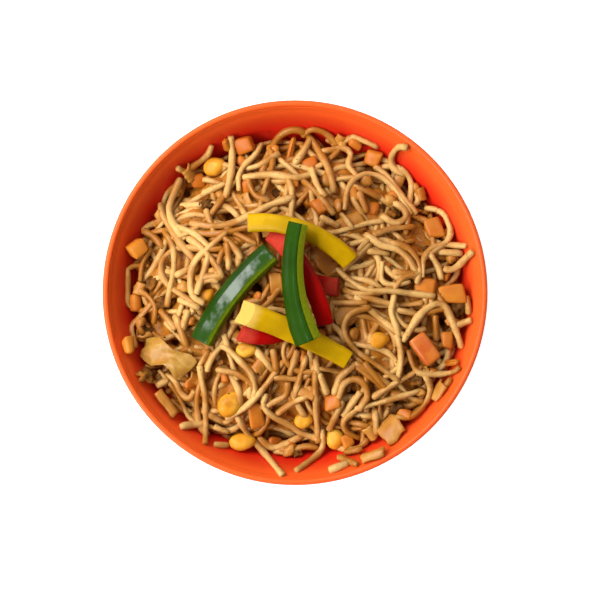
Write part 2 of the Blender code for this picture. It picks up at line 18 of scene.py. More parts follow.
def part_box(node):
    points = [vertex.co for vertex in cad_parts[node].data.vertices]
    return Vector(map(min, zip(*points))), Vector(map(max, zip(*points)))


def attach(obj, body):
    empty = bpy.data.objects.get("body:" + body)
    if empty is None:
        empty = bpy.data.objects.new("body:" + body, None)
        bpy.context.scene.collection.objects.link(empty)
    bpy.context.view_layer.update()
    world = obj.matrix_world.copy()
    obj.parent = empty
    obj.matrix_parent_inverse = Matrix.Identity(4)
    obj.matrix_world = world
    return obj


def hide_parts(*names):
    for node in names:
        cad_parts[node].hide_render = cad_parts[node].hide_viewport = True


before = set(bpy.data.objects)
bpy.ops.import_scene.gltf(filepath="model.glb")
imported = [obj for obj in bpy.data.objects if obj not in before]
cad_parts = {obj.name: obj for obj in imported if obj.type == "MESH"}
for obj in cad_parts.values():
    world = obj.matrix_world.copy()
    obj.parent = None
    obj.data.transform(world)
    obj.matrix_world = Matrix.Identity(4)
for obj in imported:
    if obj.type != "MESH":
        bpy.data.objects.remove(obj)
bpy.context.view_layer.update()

bl_info = {
    "name": "Bowl of Noodles",
    "version": (1, 0, 0),
    "blender": (4, 5, 0),
    "location": "View3D > Sidebar > Noodles",
    "description": "Builds a bowl of sauced noodles with vegetables and pepper strips",
    "category": "Add Mesh",
}

MM = 0.001
BODY = "root"
_, BOWL_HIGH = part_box("bowl")

# Bowl
RIM_RADIUS = BOWL_HIGH.x
RIM_HEIGHT = BOWL_HIGH.z
RIM_BEAD = 1.3 * MM
RIM_STEP = 0.45 * MM
WALL = 2.2 * MM
FLOOR_RADIUS = 36 * MM
FLOOR_HEIGHT = 4.5 * MM
WALL_CURVE = 0.65
FOOT_OUTER = 37.4 * MM
FOOT_INNER = 33.6 * MM
FOOT_EDGE = 0.5 * MM
FOOT_DRAFT = 0.6 * MM
FOOT_RECESS = FLOOR_HEIGHT - WALL
INNER_RADIUS = RIM_RADIUS - 2 * RIM_BEAD
PROFILE_STEPS = 24
# Painted shade on the inner wall: from this far below the rim and over this depth, the colour turns to the
# deeper red of shade and of the wall's own red light bounced inside the bowl.
PAINTED_SHADE_FROM = 1 * MM
PAINTED_SHADE_DEPTH = 14 * MM

# Heap
HEAP_TOP = 57.5 * MM
HEAP_ROUNDNESS = 2.6
EDGE_LEVELS = [z * MM for z in (49, 40, 38.5, 41, 43.5, 44, 37.5, 48.5)]
MIDDLE_SINK = 5.5 * MM
EDGE_SINK = 5 * MM
CORE_BUMP = 1.6 * MM
SAUCE_SPREAD = 2.4 * MM
SAUCE_RISE = 0.1 * MM
SAUCE_RIPPLE = 2.2 * MM
CORE_STEPS = 300
CORE_RINGS = 60
CORE_WALL_RINGS = 10

# Laying
CELL = 0.4 * MM
CLEARANCE = 0.3 * MM
PRESSED_IN = 0.8 * MM
PILE_DEPTH = 9.5 * MM
SQUASH = 0.45
WALL_LEAN = math.radians(60)
WALL_LEAN_FROM = 64 * MM
WALL_LEAN_RUN = 10 * MM
WALL_CLIMB = 5 * MM
WALL_TRIES = 60
RING_STEP = 1.9 * MM
NOODLE_SIDES = 8
SPAN_ROUNDS = 12
END_DIP = 1.6 * MM
END_DIP_RUN = 4 * MM
DICE_BEVEL = 1.4 * MM
DICE_ROUGH = 0.13
SLICE_THICKNESS = 0.9 * MM

# How far the diced pieces, loose bits and specks sink into the pile, and how far they tilt, in radians.
DICED_REST = (1 * MM, 0.15)
BIT_REST = (0.8 * MM, 0.4)
HERB_REST = (0.1 * MM, 0.4)

# Ranges of noodle width, as shares of the usual one, and of height as a share of width. A noodle that
# shows runs on at each end by a length in millimetres, unless the end is near the wall.
RANDOM_WIDTHS = (0.84, 1.1)
RANDOM_FLATNESS = (0.74, 0.95)
SHOWN_WIDTHS = (0.92, 1.14)
SHOWN_FLATNESS = (0.78, 0.98)
RUN_ON = (0.5, 3)
RUN_ON_WITHIN = 62 * MM

# Random noodles and loose bits. They start within a reach. A noodle turns back at a reach that is a little
# larger towards one side, and is cut where it still goes past the last one. Its bend and its sway are
# usual radii. The spaces are how far they keep from a gap or a diced piece, as a share of its radius.
START_REACH = 69 * MM
TURN_REACH = 66 * MM
TURN_SHIFT = 1.5 * MM
TURN_SIDE = math.radians(235)
LAST_REACH = 71 * MM
HERB_REACH = 70 * MM
RUN_STEP = 1.5 * MM
RUN_LENGTHS = (26, 62)
RUN_BEND = 22 * MM
RUN_SWAY = 14 * MM
TURN_RADIUS = 9 * MM
PLACES_DRAWN = 12
NOODLE_SPACE = 1.1
BIT_SPACE_GAP = 1.8
BIT_SPACE_DICED = 1.2
BIT_EDGE_SHARE = 0.88
BIT_SIZES = ((3.5, 3, 2.2), (6, 5, 3.5))
HERB_SIZES = ((0.5, 0.35, 0.2), (1.3, 0.8, 0.4))
BIT_KINDS = ["onion", "mince", "onion", "carrot", "onion", "onion", "mince", "carrot"]

# Noodles that show, read from the photo: points in plan that each runs through, in millimetres. The lowest
# comes first.
SHOWN_NOODLES = [
    # right of the middle
    (27, -3.5, 34, -10, 39, -14, 45, -18),
    (15.5, -4.5, 28, -4.5),
    (28, -2, 40, -5),
    (43, -7.5, 51, -9),
    (61.5, -7, 56, -8),
    (73.5, -11.5, 66.5, -14),
    (71.5, -1.5, 72.5, -9),
    (31, 17, 38.5, 16),
    (38, 9.5, 42, 6, 44, 6.5),
    (43, 8, 49, 7.5),
    (57, 15, 60, 10, 61, 6),
    (25, 6.5, 25, 13, 27, 18, 30.5, 21.5),
    (36, 10, 36, 5, 40, 3, 46, 4),
    (42, 2.5, 45, 6, 50, 7.5),
    (18.5, 8.5, 23, 4.5, 30, 0.7, 40, 0.3, 57, -1.5),
    (42.5, -19, 44, -26, 43, -35),
    (41, -2.5, 40, -8, 41.5, -13, 43, -17.5),
    (58.5, -10, 59, -19, 58.5, -27.5),
    (29, -7, 24, -8.5, 20.5, -13, 21, -18, 25, -24, 32, -29, 42.5, -36.5),
    (31.5, 22.5, 36, 19.5, 42, 18, 47, 14, 50, 9),
    (40, 20.5, 46, 19, 50, 15, 52, 10, 51, 5),
    (60, 17, 70, 16.5),
    (53, 8, 53.5, 14, 57, 18.5, 62, 20, 71.5, 19.5),
    (74, 17, 71, 14, 68, 11, 65, 9.5, 62, 10),
    (46, -18.5, 49, -13.5, 53, -8.5, 58, -5, 62, -5.5, 65, -11, 67.5, -17, 69.5, -23),
    # far side
    (3, 66.5, 7, 69, 12, 68, 16, 65, 18, 62),
    (7, 66, 3, 59, 1, 56),
    (12, 38, 16, 33),
    (13, 30, 17, 28),
    (27, 41, 29, 36),
    (26, 44, 34, 40.5),
    (43, 37, 46, 35, 46.5, 31.5, 42, 29, 37, 31.5),
    (33, 24, 40, 26.5, 48, 27.5),
    (51, 43, 52, 39, 50, 37),
    (-20, 48.5, -10, 49.5, 0, 48, 7, 50),
    (7, 51.5, 9.5, 44, 12, 40.5),
    (13, 60, 20, 61.5, 23.5, 59, 22.5, 54, 25, 50.5),
    (47, 60, 43, 60.5, 40.5, 57, 42, 52.5, 47, 50),
    (33.5, 54, 38, 50, 42, 45, 46, 39, 50, 34),
    (21, 37, 22, 43, 25, 47.5, 30, 50, 36, 49, 41, 45, 45, 39, 48.5, 33.5),
    (-20, 47, -17, 41, -13, 39),
    (-19, 52.5, -14, 54, -8, 58),
    (-14, 63.5, -17, 58, -21, 54, -23.5, 49, -23.5, 45),
    # left
    (-27, 66, -26.5, 58, -27, 50, -28.5, 42),
    (-49.5, 52.5, -46, 51, -42, 54, -37, 58, -35, 62),
    (-64, 26.5, -60, 24, -57, 21),
    (-60.5, 18.5, -64, 12, -65, 5),
    (-36, 43, -30, 45.5),
    (-37, 34, -34, 25.5),
    (-48, 27, -42, 24.5, -37, 20),
    (-48, 48.5, -51, 42, -53, 36, -52, 31, -49, 26),
    (-56.5, 38, -56, 34, -53, 28, -49, 22, -42, 13.5),
    (-55, 26, -51, 19, -50.5, 10, -52, 2, -53, -3),
    (-43, 29, -34, 27.5, -27, 28.5, -19, 32, -10, 36.5, -1, 39.5),
    (-48.5, 7.5, -44, 10),
    (-36, 15, -38, 8, -40, 2),
    (-28, 18, -27.5, 10, -29, 4),
    (-29, 24.5, -36, 18.5, -42, 12, -43.5, 4, -42, -2, -37, -5),
    (-46, -4, -39, -7),
    (-44.5, -8, -46.5, -15),
    (-66, -12.5, -64, -17.5),
    (-55, -9, -50, -15),
    (-49, -12, -45.5, -21),
    (-65.5, 1, -61.5, -1.5, -58.5, -6, -59, -11.5),
    (-11, 2, -14, -3, -19, -4),
    # near side
    (-58, -39, -53, -36.5),
    (-54, -34, -50, -37, -48, -41.5, -44.5, -44.5, -42.5, -42),
    (-48, -56, -38, -54.5),
    (-34, -56, -28, -58.5),
    (-34, -63.5, -28, -64),
    (-40, -28, -39, -36, -37.5, -45, -37.5, -63),
    (-31, -32.5, -24, -34, -18, -38),
    (-34, -23, -29, -23, -23, -28.5, -18.5, -33.5, -16.5, -39, -17, -43),
    (-8.5, -34, -12, -38.5, -18, -45.5, -23, -49.5, -28, -52),
    (-9, -24, -8, -30),
    (-7, -35.5, 0, -36),
    (-3, -38, -4, -43, -9.5, -46),
    (-7, -50.5, -2, -46.5, 4, -43.5),
    (1, -24, -2, -34),
    (8.5, -26, 9, -33),
    (10.5, -35, 12.5, -40),
    (5.5, -24, 3, -32, 0, -42),
    (8.5, -34, 8.5, -42, 9.5, -59),
    (-9, -66.5, -3, -66.5, 4, -64.5, 10, -65),
    (-15.5, -60.5, -10, -65, -5, -64, 2, -60.5),
    (-24, -52, -20, -59, -14, -66, -5, -76),
    (11.5, -60, 11.5, -65, 8, -69, 0, -74.5),
    (-12.5, -43.5, -13, -47.5, -9, -52, -3, -55, 3, -59, 10, -61),
    (12, -32, 21, -33.5),
    (17, -40, 19, -35, 25, -30),
    (18.5, -48, 14.5, -57),
    (21, -67, 28, -65),
    (18, -68.5, 26, -71.5),
    (14, -74, 22, -71),
    (33.5, -51, 34, -59),
    (23, -54, 31, -56),
    (26, -30, 33, -34, 38, -38),
    (30, -31, 37, -39),
    (43, -37, 34, -42.5),
    (26, -43, 21, -50),
    (25, -49.5, 20.5, -53.5, 21.5, -58, 27, -61),
    (65, -36, 62, -39.5),
    (27, -48, 38, -45, 52, -41),
    (18.5, -43, 20.5, -38, 25, -36, 29, -38.5, 30, -43.5, 27.5, -47.5),
    (47, -25, 50, -32, 54, -34, 65, -33.5, 68.5, -31),
    (53.5, -34, 56, -38, 56, -43, 52.5, -48.5, 47.5, -52, 42, -51.5),
]

# Diced vegetables, read from the photo: kind, middle in plan, length, width and height in millimetres, and
# turn in degrees.
DICED = [
    ("corn", -34, 53.5, 9.5, 8.5, 6.5, 20),
    ("corn", -27, -46.5, 11.5, 10, 7, 55),
    ("corn", 17, -61, 8, 10, 7, 5),
    ("corn", 3.8, -53.5, 8, 7, 6, 10),
    ("corn", 34.8, -20, 9, 7.5, 6, 10),
    ("corn", -22, -62.5, 11, 8, 6, 5),
    ("corn", -37, -1.5, 7.5, 6, 5.5, 40),
    ("corn", -20, -24, 9, 7, 6, 10),
    ("carrot", -66.5, 19, 8, 6.5, 6, 30),
    ("carrot", 16, -46, 7, 6.5, 6, 12),
    ("carrot", 54.5, 2, 9, 8.5, 5, -8),
    ("carrot", 65, -0.5, 11, 8, 6, 5),
    ("carrot", 58, 27, 8, 8, 5.5, 15),
    ("carrot", -69, -22.5, 4.5, 6.5, 4.5, 10),
    ("carrot", 63.5, -20, 5, 6, 5, 5),
    ("carrot", -16, -51.5, 7, 11, 6, 8),
    ("carrot", 33, 57, 6.5, 7, 5, -20),
    ("carrot", 10.5, 36, 6.5, 7, 5.5, 30),
    ("carrot", -21.5, 62.5, 8, 8, 6, 15),
    ("onion", -42, -23, 9, 7, 4, -20),
    ("carrot", -2, 60, 13, 3, 3, 76),
    ("carrot", 24.5, 41, 5, 8, 4, 20),
    ("carrot", 22, -62, 6, 6, 5, 30),
    ("carrot", -67, -4, 5, 8, 5, 5),
    ("onion", 40.5, -58, 10, 11, 3, 40),
    ("onion", 23.5, 28, 11, 10, 3, 25),
    ("onion", -55, -47, 12, 5, 4, -48),
    ("onion", -21, 38, 6, 8, 3, 20),
    ("onion", 33, -68, 10, 5, 3, 10),
    ("onion", -14, -30, 8, 6, 3, 50),
    ("onion", -8, 3, 5, 10, 3, 5),
    ("onion", 43, 47, 9, 6, 3, 60),
    ("onion", 12, 13, 13, 9, 3, -50),
    ("onion", 22, -9.5, 13, 8, 3, 30),
    ("mince", -55, -5, 9, 7, 4.5, 20),
    ("mince", -36.5, 37, 5, 4, 4, 0),
    ("mince", -60, 4, 6, 4.5, 3.5, 50),
    ("mince", -64, -36, 8, 6, 4.5, 10),
    ("mince", -8, 42, 6, 5, 4, 0),
    ("mince", 41, 33, 6, 5, 4, 30),
    ("mince", 67.3, -6.7, 7, 6.5, 4, 0),
    ("mince", 50.7, -36.4, 6, 5, 4, 20),
    ("mince", 42, -48, 5, 4.5, 4, 0),
    ("onion", 60.3, -41, 8, 7, 3, 40),
    ("carrot", 64.3, -29, 10, 3, 3, -6),
]

# Deep gaps between the noodles: middle in plan and radius in millimetres.
GAPS = [
    (-27.5, 32, 2.4),
    (2.5, 34.5, 2.6),
    (-16, 1.5, 2.4),
    (-46, 43, 2),
    (-8, 42, 1.8),
    (24, -42, 1.8),
    (41, 33, 2.2),
    (-50, -21, 2.1),
    (61, -12, 2),
    (15.5, 31, 2),
    (24, -14, 2),
]
GAP_DEPTH = 5.5 * MM
GAP_RAGGED = 0.9
GAP_STEEP = 4
# Round spots over the diced pieces, kept clear of what would hide them.
KEPT_CLEAR = [(x, y, (length + width) / 4 + 1) for _, x, y, length, width, *_ in DICED]

# Pepper strips: colour, run in plan as start, then each bend's end and its bow to the left in millimetres,
# width of skin and thickness of flesh, roll in degrees that turns the skin to the right of the run, size
# at the end as a share of that at the start, how far the start's cut slants as a share of the thickness,
# how waxy the skin is, the length at the start where the skin is gone (below 0: nowhere), and how far the
# flesh climbs the left side.
# The climb also paints shade on the cut side: it mixes the flesh toward the skin colour, and a little of that
# is the skin's green seen edge-on.
PEPPER_STRIPS = {
    "red_pepper_right": ("red", (18, 1.8, 4, 5, 0.5), 7.5, 3.6, 0, 1, 0.8, 0.1, 8, 0),
    "red_pepper_long": ("red", (-9.5, 24.5, 12.5, -13.5, 3.2), 8, 3.6, 12, 0.85, 0, 0.1, 12, 0),
    "red_pepper_lower": ("red", (-22.3, -16.8, -5, -16.5, -1.5), 7.5, 3.6, 14, 1, 0.6, 0.1, 7, 0),
    "green_pepper_left": ("green", (-10, 16.3, -39, -20.5, -2.6), 10, 4.4, 24, 0.95, 0, 0.9, -9, 0.25),
    "yellow_pepper_lower": ("yellow", (-20.5, -9, 22, -28.3, 1.3), 9.8, 4.2, 4, 0.75, 1.4, 0.15, 6, 0),
    "yellow_pepper_upper": ("yellow", (-19.5, 28.3, 22.7, 12.6, 5), 7.4, 4, 8, 1.1, 0.5, 0.15, -9, 0),
    "green_pepper_right": ("green", (1, 27.5, 5, -21, -4.2), 8.6, 5, 50, 1.4, 0, 0.15, -9, 0),
}

STRIP_BEVEL = 0.35 * MM
STRIP_CUTS = 44
STRIP_POINTS = 60

LEAF_RUN = (-64, -23, -44, -33, 1.5)
LEAF_POINTS = 40
LEAF_WIDTHS = [w * MM for w in (8, 11, 12.5, 10, 7.5, 9, 12, 11)]
LEAF_THICKNESS = 0.9 * MM
LEAF_WAVE = 0.9 * MM
CARROT_RUN = (50, -18.5, 58, -29, 0)
CARROT_WIDTH = 8 * MM
CARROT_DEPTH = 5.5 * MM
CARROT_BEVEL = 1.5 * MM

# Camera: width of the view at the rim, and its shift up as a share of that width.
FRAME_WIDTH = 245 * MM
VIEW_SHIFT = -3.5 / 590

# Lights: power as a share of the setting, size, azimuth and elevation in degrees, and distance.
LIGHTS = {
    "key": (0.42, 0.36, 146, 50, 0.65),
    "side": (0.72, 0.5, 206, 44, 0.9),
    "fill": (0.22, 0.8, 60, 60, 1.0),
}


def linear(red, green, blue):
    """A linear colour from a display colour given as 0 to 255."""
    shares = (c / 255 for c in (red, green, blue))
    return (*(s / 12.92 if s <= 0.04045 else ((s + 0.055) / 1.055) ** 2.4 for s in shares), 1)


# Diced vegetables' looks: darker colour, size of the mottling in millimetres, roughness, coat and scattering.
DICED_LOOKS = {
    "carrot": (linear(180, 94, 22), 3, 0.45, 0.12, 0.14),
    "corn": (linear(204, 130, 20), 5, 0.45, 0.1, 0.25),
    "onion": (linear(170, 106, 34), 4, 0.4, 0.15, 0.2),
    "mince": (linear(76, 44, 14), 1.5, 0.6, 0.02, 0),
}


# ---- settings


def colour_property(name, description, default):
    return FloatVectorProperty(
        name=name, description=description, subtype="COLOR", size=4, min=0, max=1, default=default
    )


class BowlSettings(bpy.types.PropertyGroup):
    steps: IntProperty(name="Steps", description="Steps round the bowl", default=144, min=24)
    plastic: colour_property("Plastic", "Colour of the rim", linear(240, 94, 32))
    # The low colour is painted shade: the deeper red of the inner wall lower down, where it is shaded and lit
    # by its own red light.
    low: colour_property("Low", "Colour low on the inside", linear(212, 32, 14))


class NoodleSettings(bpy.types.PropertyGroup):
    width: FloatProperty(name="Width", description="Usual width", default=2.8 * MM, unit="LENGTH")
    under_count: IntProperty(name="Under", description="Noodles under those that show", default=270)
    over_count: IntProperty(name="Over", description="Noodles among the vegetables", default=45)
    seed: IntProperty(name="Seed", description="Seed of the noodles underneath", default=11)
    pale: colour_property("Pale", "Noodle where it is bare", linear(210, 166, 98))
    sauced: colour_property("Sauced", "Noodle in sauce", linear(162, 100, 28))
    sauce: colour_property("Sauce", "Sauce in the gaps", linear(158, 96, 26))


class VegetableSettings(bpy.types.PropertyGroup):
    mince_count: IntProperty(name="Mince", description="Small loose bits", default=180)
    herb_count: IntProperty(name="Herbs", description="Specks of herb", default=130)
    seed: IntProperty(name="Seed", description="Seed of the scattered bits", default=5)
    carrot: colour_property("Carrot", "Colour of carrot", linear(196, 120, 34))
    corn: colour_property("Corn", "Colour of corn", linear(222, 168, 54))
    onion: colour_property("Onion", "Colour of onion", linear(194, 136, 58))
    mince: colour_property("Mince", "Colour of mince", linear(118, 74, 26))
    herb: colour_property("Herb", "Colour of herbs", linear(98, 62, 24))
    cabbage: colour_property("Cabbage", "Colour of cabbage", linear(166, 122, 44))


class PepperSettings(bpy.types.PropertyGroup):
    green_skin: colour_property("Green skin", "Skin of the green strips", linear(30, 64, 0))
    green_flesh: colour_property("Green flesh", "Flesh of the green strips", linear(138, 148, 16))
    yellow_skin: colour_property("Yellow skin", "Skin of the yellow strips", linear(192, 148, 2))
    yellow_flesh: colour_property("Yellow flesh", "Flesh of the yellow strips", linear(204, 164, 78))
    red_skin: colour_property("Red skin", "Skin of the red strips", linear(162, 6, 3))
    red_flesh: colour_property("Red flesh", "Flesh of the red strips", linear(172, 50, 34))


class StageSettings(bpy.types.PropertyGroup):
    distance: FloatProperty(name="Distance", description="Camera to the rim", default=0.9, unit="LENGTH")
    tilt: FloatProperty(
        name="Tilt", description="Camera's tilt from overhead", default=math.radians(2), subtype="ANGLE"
    )
    key: FloatProperty(name="Key", description="Power of the key light", default=10, subtype="POWER")
    surround: FloatProperty(name="Surround", description="Strength of the light all round", default=0.13)
    floor: colour_property("Floor", "Colour of the floor", (0.93, 0.93, 0.93, 1))


# ---- shader expressions


class Value:
    """A shader socket in an expression. Arithmetic on it adds Math nodes."""

    def __init__(self, shader, socket):
        self.shader = shader
        self.socket = socket

    def __add__(self, other):
        return self.shader.math("ADD", self, other)

    def __sub__(self, other):
        return self.shader.math("SUBTRACT", self, other)

    def __rsub__(self, other):
        return self.shader.math("SUBTRACT", other, self)

    def __mul__(self, other):
        return self.shader.math("MULTIPLY", self, other)

    __radd__ = __add__


class Shader:
    """One material and the nodes that feed its Principled shader."""

    def __init__(self, name):
        self.material = bpy.data.materials.new(name)
        self.material.use_nodes = True
        self.tree = self.material.node_tree
        self.surface = self.tree.nodes["Principled BSDF"]

    def node(self, kind, sockets=(), out=0, **settings):
        """Adds a node: its settings first, then values or links for its sockets, by name or number."""
        made = self.tree.nodes.new(kind)
        for name, setting in settings.items():
            setattr(made, name, setting)
        for key, value in dict(sockets).items():
            self.feed(made.inputs[key], value)
        return Value(self, made.outputs[out])

    def feed(self, socket, value):
        if isinstance(value, Value):
            self.tree.links.new(value.socket, socket)
        else:
            socket.default_value = value

    def math(self, operation, *values):
        return self.node("ShaderNodeMath", enumerate(values), operation=operation)

    def mix(self, share, first, second, blend="MIX"):
        sockets = {0: share, 6: first, 7: second}
        return self.node("ShaderNodeMix", sockets, out=2, data_type="RGBA", blend_type=blend)

    def step(self, value, low, high):
        """A smooth step from 0 at low to 1 at high."""
        sockets = {0: value, 1: low, 2: high}
        return self.node("ShaderNodeMapRange", sockets, interpolation_type="SMOOTHSTEP")

    def attribute(self, name, part=2):
        return self.node("ShaderNodeAttribute", out=part, attribute_name=name)

    def place(self):
        return self.node("ShaderNodeTexCoord", out=3)

    def noise(self, size, detail=2, place=None, rough=0.5):
        """Noise with features about that size, in metres."""
        sockets = {"Vector": place or self.place(), "Scale": 0.5 / size, "Detail": detail, "Roughness": rough}
        return self.node("ShaderNodeTexNoise", sockets)

    def bump(self, height, depth, strength=1):
        sockets = {"Height": height, "Distance": depth, "Strength": strength}
        return self.node("ShaderNodeBump", sockets)

    def set(self, **inputs):
        """Feeds the Principled shader's sockets, named with underscores for spaces."""
        for name, value in inputs.items():
            self.feed(self.surface.inputs[name.replace("_", " ")], value)
        return self.material

    def moist(self, colour, roughness, normal, coat, gloss, scatter):
        """Moist food: coat is its weight and roughness, scatter its weight, scale and reach by colour."""
        return self.set(
            Base_Color=colour,
            Roughness=roughness,
            Normal=normal,
            Coat_Weight=coat[0],
            Coat_Roughness=coat[1],
            Specular_IOR_Level=gloss,
            Subsurface_Weight=scatter[0],
            Subsurface_Scale=scatter[1],
            Subsurface_Radius=scatter[2],
        )


# ---- shapes shared by the pieces


def clamped(value):
    return max(0, min(1, value))


def towards(angle):
    """A step of length 1 in plan in that direction."""
    return np.array([math.cos(angle), math.sin(angle)])


def random_spot(draw, reach, nearest=0):
    """A place in plan within a reach, outside a share of the area that it takes in."""
    away = reach * math.sqrt(draw.uniform(nearest, 1))
    return towards(draw.uniform(0, math.tau)) * away


def wall_radius(z):
    """Inner radius of the bowl at height z."""
    rise = max(0.0, (z - FLOOR_HEIGHT) / (RIM_HEIGHT - FLOOR_HEIGHT))
    return FLOOR_RADIUS + (INNER_RADIUS - FLOOR_RADIUS) * rise**WALL_CURVE


def wall_height(r):
    """Height of the bowl's inner surface at radius r."""
    run = np.clip((r - FLOOR_RADIUS) / (INNER_RADIUS - FLOOR_RADIUS), 0, None)
    return FLOOR_HEIGHT + (RIM_HEIGHT - FLOOR_HEIGHT) * run ** (1 / WALL_CURVE)


def edge_level(angle):
    """Height at which the heap meets the wall, eased between its eight compass values."""
    turn = angle / math.tau * len(EDGE_LEVELS) % len(EDGE_LEVELS)
    first = int(turn)
    ease = (1 - math.cos(math.pi * (turn - first))) / 2
    following = (first + 1) % len(EDGE_LEVELS)
    return EDGE_LEVELS[first] * (1 - ease) + EDGE_LEVELS[following] * ease


def core_height(x, y):
    """Top of the sauce-coated core, below the noodles that show."""
    angle = math.atan2(y, x)
    level = edge_level(angle) - EDGE_SINK
    reach = wall_radius(level)
    share = min(1.0, math.hypot(x, y) / reach)
    place = Vector((x, y, 0)) / (6 * MM)
    bump = (0.5 - abs(noise.noise(place))) * CORE_BUMP * (1 - share**6)
    return level + (HEAP_TOP - MIDDLE_SINK - level) * (1 - share**HEAP_ROUNDNESS) + bump


def nearest_spot(plan, spots):
    """How near some points in plan come to the nearest spot: 0 at its middle, 1 at its edge."""
    return min(np.hypot(*(plan - np.array([x, y]) * MM).T).min() / (radius * MM) for x, y, radius in spots)


def bent_run(run):
    """Points in plan along a chain of arcs given in millimetres, close together."""
    x, y = run[0] * MM, run[1] * MM
    points = [(x, y)]
    for k in range(2, len(run), 3):
        end_x, end_y, bow = (v * MM for v in run[k : k + 3])
        chord = Vector((end_x - x, end_y - y))
        left = Vector((-chord.y, chord.x)).normalized()
        middle = Vector((x, y)) + chord / 2
        for share in (i / 24 for i in range(1, 25)):
            if abs(bow) < 0.05 * MM:
                point = Vector((x, y)) + chord * share
            else:
                radius = (chord.length**2 / 4 + bow**2) / (2 * bow)
                centre = middle + left * (bow - radius)
                half = 2 * math.atan2(2 * bow, chord.length)
                point = centre + Matrix.Rotation(-2 * half * share, 2) @ (Vector((x, y)) - centre)
            points.append(tuple(point))
        x, y = end_x, end_y
    return np.array(points)


def smooth_run(row):
    """Points in plan on a smooth curve through those of the row, given in millimetres."""
    given = np.array(row, float).reshape(-1, 2) * MM
    ends = [2 * given[0] - given[1], *given, 2 * given[-1] - given[-2]]
    points = []
    for before, start, end, after in zip(ends, ends[1:], ends[2:], ends[3:]):
        for t in np.arange(0, 1, 0.1):
            pull = (end - before) * t + (2 * before - 5 * start + 4 * end - after) * t**2
            points.append((2 * start + pull + (3 * start - before - 3 * end + after) * t**3) / 2)
    return np.array([*points, given[-1]])


def travelled(points):
    """Distance along a line at each of its points."""
    steps = np.linalg.norm(np.diff(points, axis=0), axis=1)
    return np.concatenate([[0], np.cumsum(steps)])


def resampled(points, stops):
    """Points on a line at given distances along it."""
    distance = travelled(points)
    return np.stack([np.interp(stops, distance, column) for column in points.T], axis=1)


def even(points, count):
    """That many points at even distances on a line."""
    return resampled(points, np.linspace(0, travelled(points)[-1], count))


def stiffened(heights):
    """A smooth line that never goes below the heights, as a strand spans its supports."""
    line = heights.copy()
    for _ in range(SPAN_ROUNDS):
        padded = np.concatenate([[line[0]], line, [line[-1]]])
        line = np.maximum(heights, (padded[:-2] + 2 * padded[1:-1] + padded[2:]) / 4)
    return line


class Bed:
    """Heights of what lies in the bowl, on a square grid in plan, and of the toppings' undersides over it."""

    def __init__(self, ceiling_nodes):
        self.half = RIM_RADIUS
        side = int(2 * self.half / CELL) + 1
        self.axis = np.linspace(-self.half, self.half, side)
        x, y = np.meshgrid(self.axis, self.axis, indexing="ij")
        radius = np.hypot(x, y)
        core = np.array([core_height(a, b) for a, b in zip(x.flat, y.flat)]).reshape(x.shape)
        wall = wall_height(radius + CLEARANCE)
        self.height = np.where(radius > INNER_RADIUS - CLEARANCE, wall, np.maximum(core, wall))
        self.ceiling = np.full(x.shape, 1.0)
        for name in ceiling_nodes:
            self.hang(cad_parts[name])

    def hang(self, topping):
        """Lowers the ceiling to a topping's underside."""
        tree = BVHTree.FromPolygons(
            [v.co for v in topping.data.vertices], [p.vertices for p in topping.data.polygons]
        )
        low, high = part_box(topping.name)
        for i in np.nonzero((self.axis > low.x) & (self.axis < high.x))[0]:
            for j in np.nonzero((self.axis > low.y) & (self.axis < high.y))[0]:
                hit = tree.ray_cast(Vector((self.axis[i], self.axis[j], 0)), Vector((0, 0, 1)))[0]
                if hit:
                    self.ceiling[i, j] = min(self.ceiling[i, j], hit.z)

    def cells(self, *place):
        """Grid cells at places in plan, given as x and y."""
        last = len(self.axis) - 1
        return tuple(np.clip(np.rint((v + self.half) / CELL).astype(int), 0, last) for v in place)

    def at(self, x, y):
        return self.height[self.cells(x, y)]

    def dome(self, radius):
        """Cell offsets under a ball of that radius, and the ball's rise over its rim at each."""
        reach = np.arange(-radius, radius + CELL / 2, CELL)
        dx, dy = np.meshgrid(reach, reach)
        rise = radius**2 - dx**2 - dy**2
        inside = rise >= 0
        return dx[inside], dy[inside], np.sqrt(rise[inside])

    def under_ball(self, plan, radius):
        """Lowest height of the middle of a ball at each point in plan."""
        dx, dy, rise = self.dome(radius)
        return (self.at(plan[:, :1] + dx, plan[:, 1:] + dy) + rise).max(axis=1)

    def room_over(self, plan, radius):
        """Height of the toppings' undersides above each point in plan."""
        dx, dy, rise = self.dome(radius)
        return (self.ceiling[self.cells(plan[:, :1] + dx, plan[:, 1:] + dy)] - rise).min(axis=1)

    def cover(self, points, radius):
        """Raises the bed to the top of a strand."""
        close = resampled(points, np.arange(0, travelled(points)[-1] + CELL, CELL))
        dx, dy, rise = self.dome(radius)
        where = self.cells(close[:, :1] + dx, close[:, 1:2] + dy)
        np.maximum.at(self.height, where, close[:, 2:] + rise)

    def cover_mesh(self, points):
        """Raises the bed to a small solid's vertices, spread over the cells between them."""
        tops = {}
        for x, y, z in points:
            key = tuple(int(c) for c in np.array(self.cells(np.array(x), np.array(y))))
            tops[key] = max(z, tops.get(key, 0))
        for (i, j), z in tops.items():
            patch = self.height[max(0, i - 2) : i + 3, max(0, j - 2) : j + 3]
            np.maximum(patch, z - 0.2 * MM, out=patch)


